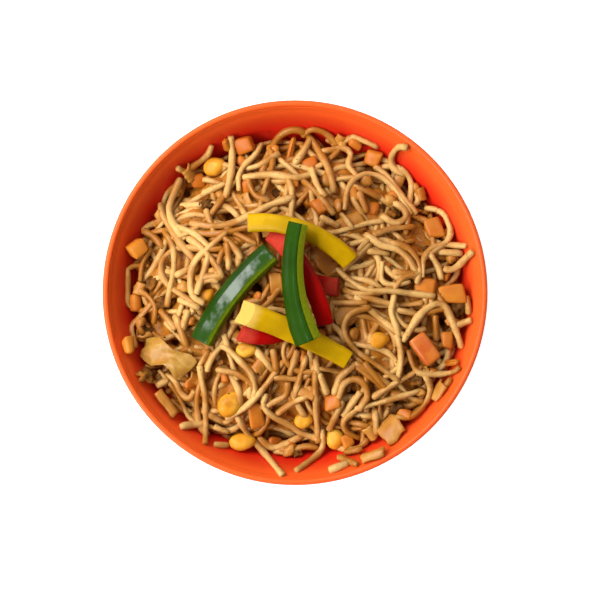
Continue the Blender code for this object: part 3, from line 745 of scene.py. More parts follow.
class Joined:
    """Many small meshes gathered into one piece, each with values that its material reads."""

    def __init__(self):
        self.points = []
        self.faces = []
        self.tones = []
        self.grains = []
        self.total = 0

    def add(self, points, faces, tone, grain=None):
        self.points.append(points)
        self.faces.extend([tuple(v + self.total for v in face) for face in faces])
        self.tones.append(np.full(len(points), tone))
        self.grains.append(points if grain is None else grain)
        self.total += len(points)

    def build(self, name, material):
        """Makes the piece, which stands for the CAD heap with the others."""
        mesh = bpy.data.meshes.new(name)
        points = np.concatenate(self.points)
        mesh.from_pydata(points.tolist(), [], self.faces)
        store(mesh, "tone", np.concatenate(self.tones))
        store(mesh, "grain", np.concatenate(self.grains))
        below = pile.at(points[:, 0], points[:, 1]) - points[:, 2]
        store(mesh, "depth", np.clip(below, 0, 1))
        finish_piece(mesh, material, "noodle_heap")


def store(mesh, name, values):
    """Keeps a number or a vector at each point, for the material to read."""
    kind, field = ("FLOAT", "value") if values.ndim == 1 else ("FLOAT_VECTOR", "vector")
    layer = mesh.attributes.new(name, kind, "POINT")
    layer.data.foreach_set(field, values.astype(np.float32).ravel())


def finish_piece(mesh, material, node):
    """Links a smooth mesh as a piece that rides on the body and stands for a CAD node."""
    mesh.shade_smooth()
    piece = bpy.data.objects.new(mesh.name, mesh)
    bpy.context.scene.collection.objects.link(piece)
    mesh.materials.clear()
    mesh.materials.append(material)
    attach(piece, BODY)
    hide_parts(node)


def mesh_of(work, name):
    """The mesh of a bmesh, with its normals made to point outwards."""
    bmesh.ops.recalc_face_normals(work, faces=work.faces)
    mesh = bpy.data.meshes.new(name)
    work.to_mesh(mesh)
    work.free()
    return mesh


def arrays_of(work):
    """Points and faces of a bmesh, which is then freed."""
    bmesh.ops.recalc_face_normals(work, faces=work.faces)
    work.verts.index_update()
    points = np.array([v.co for v in work.verts])
    faces = [tuple(v.index for v in face.verts) for face in work.faces]
    work.free()
    return points, faces


pile = Bed([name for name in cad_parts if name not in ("bowl", "noodle_heap")])


# ---- bowl


def bowl_profile():
    """Half outline of the bowl, from the inner middle up over the rim and down to the underside."""
    rises = [k / PROFILE_STEPS for k in range(PROFILE_STEPS + 1)]
    heights = [FLOOR_HEIGHT + (RIM_HEIGHT - FLOOR_HEIGHT) * rise**1.8 * 0.93 for rise in rises]
    inner = [(wall_radius(z), z) for z in heights]
    outer = []
    for (r0, z0), (r1, z1) in zip(inner[1:], inner[2:] + [(INNER_RADIUS - RIM_STEP, RIM_HEIGHT)]):
        along = Vector((r1 - r0, z1 - z0)).normalized()
        outer.append((r0 + along.y * WALL, z0 - along.x * WALL))
    bead_r, bead_z = RIM_RADIUS - RIM_BEAD, RIM_HEIGHT - RIM_BEAD
    turns = [math.pi * k / 14 for k in range(17)]
    bead = [(bead_r - RIM_BEAD * math.cos(t), bead_z + RIM_BEAD * math.sin(t)) for t in turns]
    lip = [
        (INNER_RADIUS - RIM_STEP * 1.7, bead_z - RIM_BEAD * 1.1),
        (INNER_RADIUS - RIM_STEP * 1.3, bead_z - RIM_BEAD * 0.45),
        (INNER_RADIUS - RIM_STEP * 0.6, bead_z - RIM_BEAD * 0.15),
    ]
    under_bead = [(RIM_RADIUS - RIM_BEAD * 1.5, RIM_HEIGHT - RIM_BEAD * 2.5)]
    foot = [
        (FOOT_OUTER, FOOT_EDGE),
        (FOOT_OUTER - FOOT_EDGE, 0),
        (FOOT_INNER + FOOT_EDGE, 0),
        (FOOT_INNER, FOOT_EDGE),
        (FOOT_INNER - FOOT_DRAFT, FOOT_RECESS),
        (0, FOOT_RECESS),
    ]
    outside = [(r, z) for r, z in reversed(outer) if z > FOOT_RECESS + 0.2 * MM]
    return [(0, FLOOR_HEIGHT)] + inner + lip + bead + under_bead + outside + foot


def spun(profile, steps):
    """A solid of revolution about Z from a profile that starts and ends on the axis."""
    work = bmesh.new()
    verts = [work.verts.new((r, 0, z)) for r, z in profile]
    edges = [work.edges.new(pair) for pair in zip(verts, verts[1:])]
    bmesh.ops.spin(
        work, geom=verts + edges, axis=(0, 0, 1), angle=math.tau, steps=steps, use_merge=True
    )
    bmesh.ops.remove_doubles(work, verts=work.verts, dist=1e-6)
    return work


def plastic_material(colour, low):
    """Moulded plastic with a soft gloss, a faint orange-peel surface and scuffs, with painted shade that
    turns the inner wall deeper red below the rim.
    """
    shader = Shader("orange_plastic")
    mottle = shader.noise(30 * MM, 2)
    # Painted shade: the inner wall turns to the low colour further below the rim.
    tint = shader.mix(shader.attribute("inside"), colour, low)
    tint = shader.mix(mottle * 0.12, tint, low)
    peel = shader.noise(1.2 * MM, 2)
    scuff = shader.noise(4 * MM, 5, rough=0.7)
    return shader.set(
        Base_Color=tint,
        Roughness=0.36 + scuff * 0.14,
        Normal=shader.bump(peel, 0.01 * MM, 0.5),
        Subsurface_Weight=0.06,
        Subsurface_Scale=2 * MM,
        Specular_IOR_Level=0.22,
    )


class NOODLES_OT_bowl(bpy.types.Operator):
    """Turns the bowl with its rolled rim and foot ring"""

    bl_idname = "noodles.bowl"
    bl_label = "Bowl"

    def execute(self, context):
        settings = context.scene.bowl_settings
        work = spun(bowl_profile(), settings.steps)
        # Each point of the inner wall keeps how far into the painted shade below the rim it lies.
        inside = work.verts.layers.float.new("inside")
        for vertex in work.verts:
            radius, z = math.hypot(*vertex.co.xy), vertex.co.z
            if radius < wall_radius(z) + 0.3 * MM and z > FLOOR_HEIGHT - 0.1 * MM:
                share = clamped((RIM_HEIGHT - PAINTED_SHADE_FROM - z) / PAINTED_SHADE_DEPTH)
                vertex[inside] = share**2 * (3 - 2 * share)
        material = plastic_material(settings.plastic, settings.low)
        finish_piece(mesh_of(work, "bowl_shell"), material, "bowl")
        return {"FINISHED"}


# ---- core


def sauce_material(settings):
    """Thick glossy sauce, with painted shade darkening it in the deep gaps."""
    shader = Shader("sauce")
    blotch = shader.noise(5 * MM, 4)
    light = (*[c * 1.5 for c in settings.sauce[:3]], 1)
    tint = shader.mix(shader.step(blotch, 0.35, 0.7), settings.sauce, light)
    grains = shader.step(shader.noise(1.1 * MM, 3), 0.5, 0.68)
    tint = shader.mix(grains * 0.45, tint, linear(124, 70, 22))
    # Painted shade: down in the pits between the noodles the sauce turns dark brown.
    pit = shader.step(shader.attribute("pit"), 0.1 * GAP_DEPTH, 0.8 * GAP_DEPTH)
    tint = shader.mix(pit, tint, linear(104, 54, 12))
    return shader.set(
        Base_Color=tint,
        Roughness=0.4 + blotch * 0.2,
        Normal=shader.bump(shader.noise(1.5 * MM, 4), 0.5 * MM, 1),
        Coat_Weight=0.1,
        Coat_Roughness=0.18,
        Specular_IOR_Level=0.15,
    )


def blurred(heights, cells):
    """Heights averaged over squares of that many cells each way, three times over."""
    wide = 2 * cells + 1
    for axis in (0, 1) * 3:
        pads = [(cells + 1, cells) if a == axis else (0, 0) for a in (0, 1)]
        total = np.cumsum(np.pad(heights, pads, "edge"), axis)
        count = total.shape[axis]
        ahead = np.take(total, range(wide, count), axis)
        heights = (ahead - np.take(total, range(count - wide), axis)) / wide
    return heights


class NOODLES_OT_core(bpy.types.Operator):
    """Fills the pile with sauce, to a little below the noodles that lie in it"""

    bl_idname = "noodles.core"
    bl_label = "Sauce"

    def execute(self, context):
        levels = blurred(pile.height, round(SAUCE_SPREAD / CELL)) + SAUCE_RISE
        floor = FLOOR_HEIGHT - CLEARANCE
        level = sum(EDGE_LEVELS) / len(EDGE_LEVELS) - EDGE_SINK
        rises = [(k / CORE_WALL_RINGS) ** 2 for k in range(CORE_WALL_RINGS + 1)]
        wall = [(wall_radius(floor + (level - floor) * t) + CLEARANCE, t) for t in rises]
        reach = wall[-1][0]
        shares = [k / CORE_RINGS for k in range(1, CORE_RINGS + 1)]
        top = [(reach * (1 - share), 1 + share) for share in shares]
        work = spun([(0, 0)] + wall + top, CORE_STEPS)
        pits = work.verts.layers.float.new("pit")
        for vertex in work.verts:
            x, y, rank = vertex.co
            angle = math.atan2(y, x)
            edge = edge_level(angle) - EDGE_SINK
            if rank > 1:
                scale = (wall_radius(edge) + CLEARANCE) / reach
                x, y = x * scale, y * scale
                i, j = pile.cells(x, y)
                pool = levels[i, j] + (noise.noise(Vector((x, y, 0)) / (5 * MM)) - 0.3) * SAUCE_RIPPLE
                inward = min(1, (rank - 1) * 12)
                ragged = 1 + GAP_RAGGED * noise.noise(Vector((x, y, 5 * MM)) / (1.8 * MM))
                near = nearest_spot(np.array([[x, y]]), GAPS) * ragged
                pit = GAP_DEPTH * math.exp(-(near**GAP_STEEP))
                vertex[pits] = pit
                height = edge + (max(core_height(x, y), pool) - pit - edge) * inward
            else:
                height = floor + (edge - floor) * rank
                scale = (wall_radius(height) + CLEARANCE) / max(math.hypot(x, y), 1e-9)
                scale = scale if math.hypot(x, y) > 1e-6 and rank > 0 else 1
                x, y = x * scale, y * scale
            vertex.co = (x, y, height)
        material = sauce_material(context.scene.noodle_settings)
        finish_piece(mesh_of(work, "sauce_core"), material, "noodle_heap")
        return {"FINISHED"}


# ---- noodles


@functools.cache
def noodle_blank(rings):
    """A straight noodle with that many rings: which ring and which turn each point is at, and its faces."""
    work = bmesh.new()
    bmesh.ops.create_cone(
        work, cap_ends=True, cap_tris=True, segments=NOODLE_SIDES, radius1=1, radius2=1, depth=1
    )
    sides = [e for e in work.edges if abs(e.verts[0].co.z - e.verts[1].co.z) > 0.5]
    bmesh.ops.subdivide_edges(work, edges=sides, cuts=rings - 2, use_grid_fill=True)
    points, faces = arrays_of(work)
    return np.rint((points[:, 2] + 0.5) * (rings - 1)).astype(int), points[:, :2], faces


def lay_noodle(plan, width, flatness, draw, noodles):
    """Lays one noodle along a line in plan: it sags over what it crosses, and ends short of a topping."""
    radius = width / 2
    rings = max(4, round(travelled(plan)[-1] / RING_STEP) + 1)
    line = even(plan, rings)
    low = radius * flatness
    heights = settled(line, stiffened(pile.under_ball(line, low) - PRESSED_IN))
    free = heights + low + CLEARANCE < pile.room_over(line, radius)
    runs = np.split(np.arange(rings), np.nonzero(np.diff(free.astype(int)))[0] + 1)
    kept = max((r for r in runs if free[r[0]]), key=len, default=[])
    if len(kept) < 4:
        return False
    points = np.column_stack([line, heights])[kept]
    distance = travelled(points)
    from_end = np.minimum(distance, distance[-1] - distance)
    points[:, 2] -= END_DIP * draw.uniform(0.2, 1) * np.clip(1 - from_end / END_DIP_RUN, 0, 1) ** 2
    distance = travelled(points)
    pile.cover(points, radius)
    end = 0.35 * radius
    stops = np.concatenate([[0, end], distance[1:-1], [distance[-1] - end, distance[-1]]])
    points = resampled(points, stops)
    along = np.gradient(points, axis=0)
    along /= np.linalg.norm(along, axis=1)[:, None]
    left = np.column_stack([-along[:, 1], along[:, 0], np.zeros(len(along))])
    left /= np.linalg.norm(left, axis=1)[:, None]
    up = np.cross(along, left)
    ring, turn, faces = noodle_blank(len(points))
    swell = 1 + 0.12 * np.sin(stops / (3.3 * MM) + draw.uniform(0, 6)) * draw.uniform(0.3, 1)
    swell += 0.07 * np.sin(stops / (1.3 * MM) + draw.uniform(0, 6))
    swell[[0, -1]] *= 0.7
    twist = draw.uniform(0, math.pi) + np.linspace(0, draw.normal(0, 1.2), len(points))
    cos, sin = np.cos(twist)[ring], np.sin(twist)[ring]
    square = 1 + 0.08 * np.cos(4 * np.arctan2(turn[:, 1], turn[:, 0]) + 4 * twist[ring])
    a, b = turn[:, 0] * square, turn[:, 1] * flatness * square
    across = (a * cos - b * sin) * radius * swell[ring]
    raised = (a * sin + b * cos) * radius * swell[ring]
    placed = points[ring] + left[ring] * across[:, None] + up[ring] * raised[:, None]
    grain = np.column_stack([stops[ring], across, raised])
    noodles.add(placed, faces, draw.uniform(), grain)
    return True


def settled(plan, heights):
    """Heights with whatever stands over the pile's usual top pressed part of the way down."""
    usual = np.array([core_height(x, y) for x, y in plan]) + PILE_DEPTH
    usual = np.maximum(usual, wall_height(np.hypot(*plan.T)) + 2 * MM)
    return np.where(heights > usual, usual + (heights - usual) * SQUASH, heights)


def wandering_run(draw):
    """A random noodle in plan: it bends as it goes, and turns back before the wall."""
    place = random_spot(draw, START_REACH)
    heading = draw.uniform(0, math.tau)
    bend = draw.normal(0, 1 / RUN_BEND)
    change = draw.normal(0, 1 / RUN_SWAY)
    phase = draw.uniform(0, math.tau)
    points = [place]
    for k in range(int(draw.uniform(*RUN_LENGTHS) * MM / RUN_STEP)):
        turn = bend + change * math.sin(phase + k * 0.17)
        inward = math.atan2(-place[1], -place[0]) - heading
        inward = (inward + math.pi) % math.tau - math.pi
        outer = TURN_REACH + TURN_SHIFT * math.cos(math.atan2(place[1], place[0]) - TURN_SIDE)
        if np.hypot(*place) > outer:
            turn = math.copysign(1 / TURN_RADIUS, inward) * min(1, abs(inward))
        heading += turn * RUN_STEP
        place = place + towards(heading) * RUN_STEP
        points.append(place)
    points = np.array(points)
    return points[np.hypot(*points.T) < LAST_REACH]


def lay_at_random(settings, seed, count, noodles, spots):
    """Lays noodles one by one, clear of some spots, each where the pile is lowest of a few places drawn."""
    draw = np.random.default_rng(seed)
    for _ in range(count):
        runs = [wandering_run(draw) for _ in range(PLACES_DRAWN)]
        runs = [run for run in runs if len(run) > 8 and nearest_spot(run, spots) > NOODLE_SPACE]
        if not runs:
            continue
        lowest = min(runs, key=lambda run: np.mean(pile.at(*run.T) - target_height(run)))
        width = settings.width * draw.uniform(*RANDOM_WIDTHS)
        lay_noodle(lowest, width, draw.uniform(*RANDOM_FLATNESS), draw, noodles)


def noodle_material(settings):
    """Boiled noodle: pale, with sauce in blotches and in the gaps, specks of spice and a wet film."""
    shader = Shader("sauced_noodle")
    tone = shader.attribute("tone")
    depth = shader.step(shader.attribute("depth"), 0.6 * MM, 5.5 * MM)
    grain = shader.attribute("grain", 1)
    blotch = shader.step(shader.noise(7 * MM, 3), 0.36, 0.66)
    coated = blotch * 0.65 + tone * 0.5
    body = shader.mix(shader.step(coated, 0.1, 0.95), settings.pale, settings.sauced)
    streak = shader.noise(0.9 * MM, 3, grain)
    body = shader.mix(shader.step(streak, 0.45, 0.75) * 0.25, body, settings.sauced)
    body = shader.mix(depth * 0.85, body, settings.sauce)
    spice = shader.step(shader.noise(0.45 * MM, 2), 0.66, 0.72)
    specks = spice * shader.step(shader.noise(6 * MM), 0.45, 0.6)
    body = shader.mix(specks * 0.8, body, linear(92, 52, 16))
    dents = shader.noise(1.6 * MM, 3, grain)
    return shader.moist(
        colour=body,
        roughness=0.52 - blotch * 0.14,
        normal=shader.bump(dents, 0.25 * MM, 0.8),
        coat=(blotch * 0.2, 0.2),
        gloss=0.22,
        scatter=(0.12, 1.2 * MM, (1, 0.5, 0.25)),
    )


class NOODLES_OT_under(bpy.types.Operator):
    """Lays the noodles underneath"""

    bl_idname = "noodles.under"
    bl_label = "Noodles Underneath"

    def execute(self, context):
        settings = context.scene.noodle_settings
        built["noodles_under"] = Joined()
        lay_at_random(settings, settings.seed, settings.under_count, built["noodles_under"], GAPS)
        return {"FINISHED"}


def target_height(run):
    """Height that the pile should reach along a run, as the CAD heap does."""
    return np.array([core_height(x, y) for x, y in run])


class NOODLES_OT_shown(bpy.types.Operator):
    """Lays the noodles that show in the photo"""

    bl_idname = "noodles.shown"
    bl_label = "Noodles on Top"

    def execute(self, context):
        settings = context.scene.noodle_settings
        noodles = Joined()
        lay_at_random(settings, settings.seed + 2, settings.over_count, noodles, GAPS + KEPT_CLEAR)
        draw = np.random.default_rng(settings.seed + 1)
        for row in SHOWN_NOODLES:
            run = smooth_run(row)
            start, end = run[0] - run[3], run[-1] - run[-4]
            ahead = end / np.linalg.norm(end) * draw.uniform(*RUN_ON) * MM
            behind = start / np.linalg.norm(start) * draw.uniform(*RUN_ON) * MM
            ahead *= np.hypot(*run[-1]) < RUN_ON_WITHIN
            behind *= np.hypot(*run[0]) < RUN_ON_WITHIN
            run = np.concatenate([[run[0] + behind], run, [run[-1] + ahead]])
            width = settings.width * draw.uniform(*SHOWN_WIDTHS)
            lay_noodle(run, width, draw.uniform(*SHOWN_FLATNESS), draw, noodles)
        material = noodle_material(settings)
        noodles.build("noodles_on_top", material)
        built["noodles_under"].build("noodles_underneath", material)
        for name in DICED_LOOKS:
            built[name].build(f"{name}_pieces", built[name + "_material"])
        return {"FINISHED"}


# ---- vegetables


def soften(work, bevel, segments):
    """Rounds every edge of a small solid."""
    bmesh.ops.bevel(
        work, geom=work.edges, offset=bevel, segments=segments, profile=0.5, affect="EDGES", material=-1
    )


def soft_block(size, bevel, cuts, rough, draw):
    """A block with soft edges and uneven faces, as cut by hand."""
    work = bmesh.new()
    bmesh.ops.create_cube(work, size=1)
    bmesh.ops.scale(work, vec=size, verts=work.verts)
    for vertex in work.verts:
        vertex.co += Vector(draw.normal(0, rough, 3)) * min(size)
    soften(work, bevel, 2)
    bmesh.ops.subdivide_edges(work, edges=work.edges, cuts=cuts, use_grid_fill=True)
    bmesh.ops.smooth_vert(
        work, verts=work.verts, factor=0.5, use_axis_x=True, use_axis_y=True, use_axis_z=True
    )
    return work


def kernel(size):
    """A corn kernel: plump, narrower at its tip and dimpled on top."""
    work = bmesh.new()
    bmesh.ops.create_icosphere(work, subdivisions=3, radius=0.5)
    for vertex in work.verts:
        x, y, z = vertex.co
        narrow = 1 - 0.45 * max(0, x + 0.1)
        dimple = 0.12 * math.exp(-((x + 0.1) ** 2 + y**2) * 40) * (z > 0)
        vertex.co = (x * 1.05, y * narrow, z * (1 - dimple * 2))
    bmesh.ops.scale(work, vec=size, verts=work.verts)
    return work


def crumb(size, rough, draw, detail=2):
    """A rough lump."""
    work = bmesh.new()
    bmesh.ops.create_icosphere(work, subdivisions=detail, radius=0.5)
    shift = Vector(draw.uniform(-50, 50, 3))
    for vertex in work.verts:
        coarse, fine = (noise.noise(vertex.co * scale + shift) for scale in (3.2, 8))
        vertex.co *= 1 + rough * coarse + rough / 2 * fine
    bmesh.ops.scale(work, vec=size, verts=work.verts)
    return work


def sliver(size, draw):
    """A thin curved slice, as of onion."""
    work = bmesh.new()
    bmesh.ops.create_grid(work, x_segments=10, y_segments=8, size=0.5)
    shift = Vector(draw.uniform(-50, 50, 3))
    length, width, height = size
    for vertex in work.verts:
        x, y, _ = vertex.co
        edge = 1 + 0.22 * noise.noise(Vector((math.atan2(y, x), 0, 0)) * 1.5 + shift)
        vertex.co = (x * length * edge, y * width * edge, 0)
        arch = height * 0.8 * (0.25 - y * y) * 2
        vertex.co.z = arch + 0.12 * height * noise.noise(vertex.co * 350 + shift)
    whole = work.verts[:] + work.edges[:] + work.faces[:]
    bmesh.ops.solidify(work, geom=whole, thickness=-SLICE_THICKNESS)
    return work


def past_wall(points):
    """How far the outermost of some points reaches past where the bowl's wall has its clearance."""
    radius = np.hypot(points[:, 0], points[:, 1])
    return np.max(radius - np.array([wall_radius(z) for z in points[:, 2]])) + CLEARANCE


def rest_solid(work, place, turn, sink, tilt, draw):
    """Turns a small solid, sets it down on the pile or against the wall, and raises the pile to it."""
    points, faces = arrays_of(work)
    lean = Matrix.Rotation(draw.normal(0, tilt), 3, "X") @ Matrix.Rotation(draw.normal(0, tilt), 3, "Y")
    outward = clamped((math.hypot(*place) - WALL_LEAN_FROM) / WALL_LEAN_RUN) * WALL_LEAN
    upwards = Matrix.Rotation(outward, 3, Vector((place[1], -place[0], 0)))
    points = points @ np.array(upwards @ Matrix.Rotation(turn, 3, "Z") @ lean).T
    low = points[points[:, 2] < np.median(points[:, 2])]
    climb = 0
    for _ in range(WALL_TRIES):
        under = pile.at(place[0] + low[:, 0], place[1] + low[:, 1]) - low[:, 2]
        height = settled(place[None], np.quantile(under, 0.6, keepdims=True))[0] - sink + climb
        moved = points + np.array([*place, height])
        crossing = past_wall(moved)
        if crossing <= 0:
            break
        if climb < WALL_CLIMB:
            climb += crossing
        else:
            place = place * (1 - crossing / np.hypot(*place))
    over = pile.ceiling[pile.cells(moved[:, 0], moved[:, 1])]
    gap = np.min(over - moved[:, 2])
    if gap < CLEARANCE:
        moved[:, 2] += gap - CLEARANCE
        moved[:, :2] *= 1 - max(0, past_wall(moved)) / max(np.hypot(*place), 1 * MM)
    pile.cover_mesh(moved)
    return moved, faces


def vegetable_material(name, colour, dark, size, roughness, coat, scatter):
    """Moist cooked vegetable, mottled between two colours."""
    shader = Shader(name)
    tone = shader.attribute("tone")
    mottle = shader.step(shader.noise(size, 3) + tone * 0.3, 0.35, 0.85)
    sauce = shader.step(shader.noise(4 * MM, 3), 0.55, 0.7)
    body = shader.mix(mottle, colour, dark)
    return shader.moist(
        colour=shader.mix(sauce * 0.6, body, linear(172, 104, 30)),
        roughness=roughness - sauce * 0.1,
        normal=shader.bump(shader.noise(size / 3, 3), 0.15 * MM, 0.6),
        coat=(coat, 0.2),
        gloss=0.05 + coat,
        scatter=(scatter, 1.5 * MM, (1, 0.45, 0.2)),
    )


def shaped(kind, size, draw):
    """A piece of that kind of food, or a lump."""
    if kind == "corn":
        return kernel(size)
    if kind == "onion":
        return sliver(size, draw)
    if kind == "mince":
        return crumb(size, 0.8, draw, 3)
    if kind == "lump":
        return crumb(size, 0.45, draw)
    return soft_block(size, DICE_BEVEL, 1, DICE_ROUGH, draw)


class NOODLES_OT_vegetables(bpy.types.Operator):
    """Sets the diced vegetables and bits of mince between the noodles"""

    bl_idname = "noodles.vegetables"
    bl_label = "Vegetables"

    def execute(self, context):
        settings = context.scene.vegetable_settings
        draw = np.random.default_rng(settings.seed)
        for kind, (dark, mottle, *look) in DICED_LOOKS.items():
            colour = getattr(settings, kind)
            built[kind + "_material"] = vegetable_material(kind, colour, dark, mottle * MM, *look)
            built[kind] = Joined()
        for kind, x, y, length, width, height, turn in DICED:
            work = shaped(kind, Vector((length, width, height)) * MM, draw)
            solid = rest_solid(work, np.array([x, y]) * MM, math.radians(turn), *DICED_REST, draw)
            built[kind].add(*solid, draw.uniform())
        for number in range(settings.mince_count):
            kind = BIT_KINDS[number % len(BIT_KINDS)]
            place = random_spot(draw, START_REACH, BIT_EDGE_SHARE if number % 4 == 0 else 0)
            size = Vector(draw.uniform(*BIT_SIZES)) * MM
            near = nearest_spot(place[None], GAPS) < BIT_SPACE_GAP
            if near or nearest_spot(place[None], KEPT_CLEAR) < BIT_SPACE_DICED:
                continue
            size = size * 0.75 if kind == "mince" else size * 1.2
            work = shaped("lump" if kind == "onion" and number % 3 else kind, size, draw)
            solid = rest_solid(work, place, draw.uniform(0, 6), *BIT_REST, draw)
            built[kind].add(*solid, draw.uniform())
        return {"FINISHED"}


class NOODLES_OT_herbs(bpy.types.Operator):
    """Scatters specks of herb over the noodles"""

    bl_idname = "noodles.herbs"
    bl_label = "Herbs"

    def execute(self, context):
        settings = context.scene.vegetable_settings
        draw = np.random.default_rng(settings.seed + 1)
        herbs = Joined()
        for _ in range(settings.herb_count):
            place = random_spot(draw, HERB_REACH)
            work = crumb(Vector(draw.uniform(*HERB_SIZES)) * MM, 0.8, draw, 1)
            solid = rest_solid(work, place, draw.uniform(0, 6), *HERB_REST, draw)
            herbs.add(*solid, draw.uniform())
        material = vegetable_material("herb", settings.herb, linear(40, 30, 10), 1 * MM, 0.6, 0, 0)
        herbs.build("herb_specks", material)
        return {"FINISHED"}


# ---- toppings


def middle_line(node, plan):
    """A stiff topping's middle line, on a parabola through its CAD node's points, and its length."""
    points = np.unique(np.round([v.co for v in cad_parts[node].data.vertices], 6), axis=0)
    distance = travelled(plan)
    apart = np.hypot(points[:, :1] - plan[:, 0], points[:, 1:2] - plan[:, 1])
    bend = np.polynomial.polynomial.polyfit(distance[apart.argmin(axis=1)], points[:, 2], 2)
    line = np.column_stack([plan, np.polynomial.polynomial.polyval(distance, bend)])
    return line, travelled(line)[-1]


def bend_blank(work, line, roll=0, taper=1, slant=0):
    """Bends a straight blank, drawn along X, to a line. Its straight form is kept as the grain."""
    grain = work.verts.layers.float_vector.new("grain")
    distance = travelled(line)
    length = distance[-1]
    turn = Matrix.Rotation(roll, 2)
    along = np.gradient(line, axis=0)
    along /= np.linalg.norm(along, axis=1)[:, None]
    for vertex in work.verts:
        vertex[grain] = vertex.co
        share = vertex.co.x / length
        centre = Vector([np.interp(vertex.co.x, distance, line[:, k]) for k in range(3)])
        forward = Vector([np.interp(vertex.co.x, distance, along[:, k]) for k in range(3)]).normalized()
        left = Vector((-forward.y, forward.x, 0)).normalized()
        up = forward.cross(left)
        uneven = 1 + 0.05 * noise.noise(Vector((vertex.co.x / (9 * MM), 8 * roll, 0)))
        across, raised = turn @ vertex.co.yz * uneven * (1 + (taper - 1) * share**2)
        lean = slant * raised * max(0, 1 - vertex.co.x / (3 * MM))
        vertex.co = centre + left * across + up * raised + forward * lean


def strip_blank(length, width, thickness):
    """A straight pepper strip along X: crowned skin on top, flat cut sides and hollowed flesh below."""
    half, rise = width / 2, thickness / 2
    outline = [
        (-half, 0.5 * rise),
        (-half, -rise),
        (0, -0.8 * rise),
        (half, -rise),
        (half, 0.5 * rise),
        (0.75 * half, 0.87 * rise),
        (0.27 * half, rise),
        (-0.27 * half, rise),
        (-0.75 * half, 0.87 * rise),
    ]
    work = bmesh.new()
    face = work.faces.new([work.verts.new((0, y, z)) for y, z in outline])
    grown = bmesh.ops.extrude_face_region(work, geom=[face])["geom"]
    moved = [item for item in grown if isinstance(item, bmesh.types.BMVert)]
    bmesh.ops.translate(work, vec=(length, 0, 0), verts=moved)
    soften(work, STRIP_BEVEL, 3)
    long_edges = [e for e in work.edges if abs(e.verts[0].co.x - e.verts[1].co.x) > length / 2]
    bmesh.ops.subdivide_edges(work, edges=long_edges, cuts=STRIP_CUTS, use_grid_fill=True)
    bmesh.ops.recalc_face_normals(work, faces=work.faces)
    return work


def pepper_material(name, skin, flesh, thickness, wax, bare, climb):
    """Waxy skin over pale wet flesh; the blank's own height and length tell one from the other."""
    shader = Shader(name)
    grain = shader.attribute("grain", 1)
    along, across, depth = (shader.node("ShaderNodeSeparateXYZ", {0: grain}, out=k) for k in range(3))
    ragged = shader.noise(1 * MM, 2) * (0.25 * MM) - across * climb
    level, fade = thickness * 0.2, (0.4 + 4 * climb) * MM
    is_skin = shader.step(depth + ragged, level - fade / 2, level + fade / 2)
    torn = shader.noise(3 * MM, 3, grain) * (6 * MM)
    is_skin = is_skin * shader.step(along + torn, bare, bare + 5 * MM)
    mottle = shader.noise(5 * MM, 3, grain)
    skin_tint = shader.mix(shader.step(mottle, 0.35, 0.75), skin, (*[c * 0.72 for c in skin[:3]], 1))
    cells = shader.noise(0.7 * MM, 3, grain)
    # Painted shade: the climb mixes the flesh toward the skin colour, darkening a cut side that faces away
    # from the light; a little of it is the skin's green seen edge-on.
    flesh_tint = shader.mix(shader.step(cells, 0.3, 0.8) * 0.2 + 2.2 * climb, flesh, skin)
    height = shader.mix(is_skin, cells, mottle)
    patch = shader.step(shader.noise(7 * MM, 5, grain, 0.65), 0.42, 0.6)
    return shader.moist(
        colour=shader.mix(is_skin, flesh_tint, skin_tint),
        roughness=0.42 + is_skin * 0.03,
        normal=shader.bump(height, 0.35 * MM, 0.8),
        coat=(is_skin * (patch * wax), 0.14),
        gloss=0.05,
        scatter=(0.1, 1.5 * MM, (1, 0.6, 0.2)),
    )


class NOODLES_OT_peppers(bpy.types.Operator):
    """Makes the strips of bell pepper on top"""

    bl_idname = "noodles.peppers"
    bl_label = "Pepper Strips"

    def execute(self, context):
        settings = context.scene.pepper_settings
        for node, (colour, run, width, thickness, *cut, wax, bare, climb) in PEPPER_STRIPS.items():
            roll, taper, slant = cut
            skin, flesh = (getattr(settings, f"{colour}_{part}") for part in ("skin", "flesh"))
            thickness *= MM
            material = pepper_material(f"{node}_skin", skin, flesh, thickness, wax, bare * MM, climb)
            line, length = middle_line(node, even(bent_run(run), STRIP_POINTS))
            work = strip_blank(length, width * MM, thickness)
            bend_blank(work, line, math.radians(roll), taper, slant)
            finish_piece(mesh_of(work, f"{node}_strip"), material, node)
        return {"FINISHED"}


def cabbage_material(colour):
    """Limp cooked leaf, with pale veins."""
    shader = Shader("cabbage")
    grain = shader.attribute("grain", 1)
    cells = {"Vector": grain, "Scale": 260}
    veins = shader.node("ShaderNodeTexVoronoi", cells, feature="DISTANCE_TO_EDGE")
    soft = shader.step(shader.noise(4 * MM, 3, grain), 0.35, 0.7)
    body = shader.mix(soft * 0.6, colour, linear(164, 106, 34))
    return shader.moist(
        colour=shader.mix(shader.step(veins, 0.12, 0) * 0.2, body, linear(214, 172, 96)),
        roughness=0.4 + soft * 0.12,
        normal=shader.bump(veins, 0.3 * MM, 0.2),
        coat=(0.12, 0.18),
        gloss=0.3,
        scatter=(0.2, 1.5 * MM, (1, 0.6, 0.3)),
    )


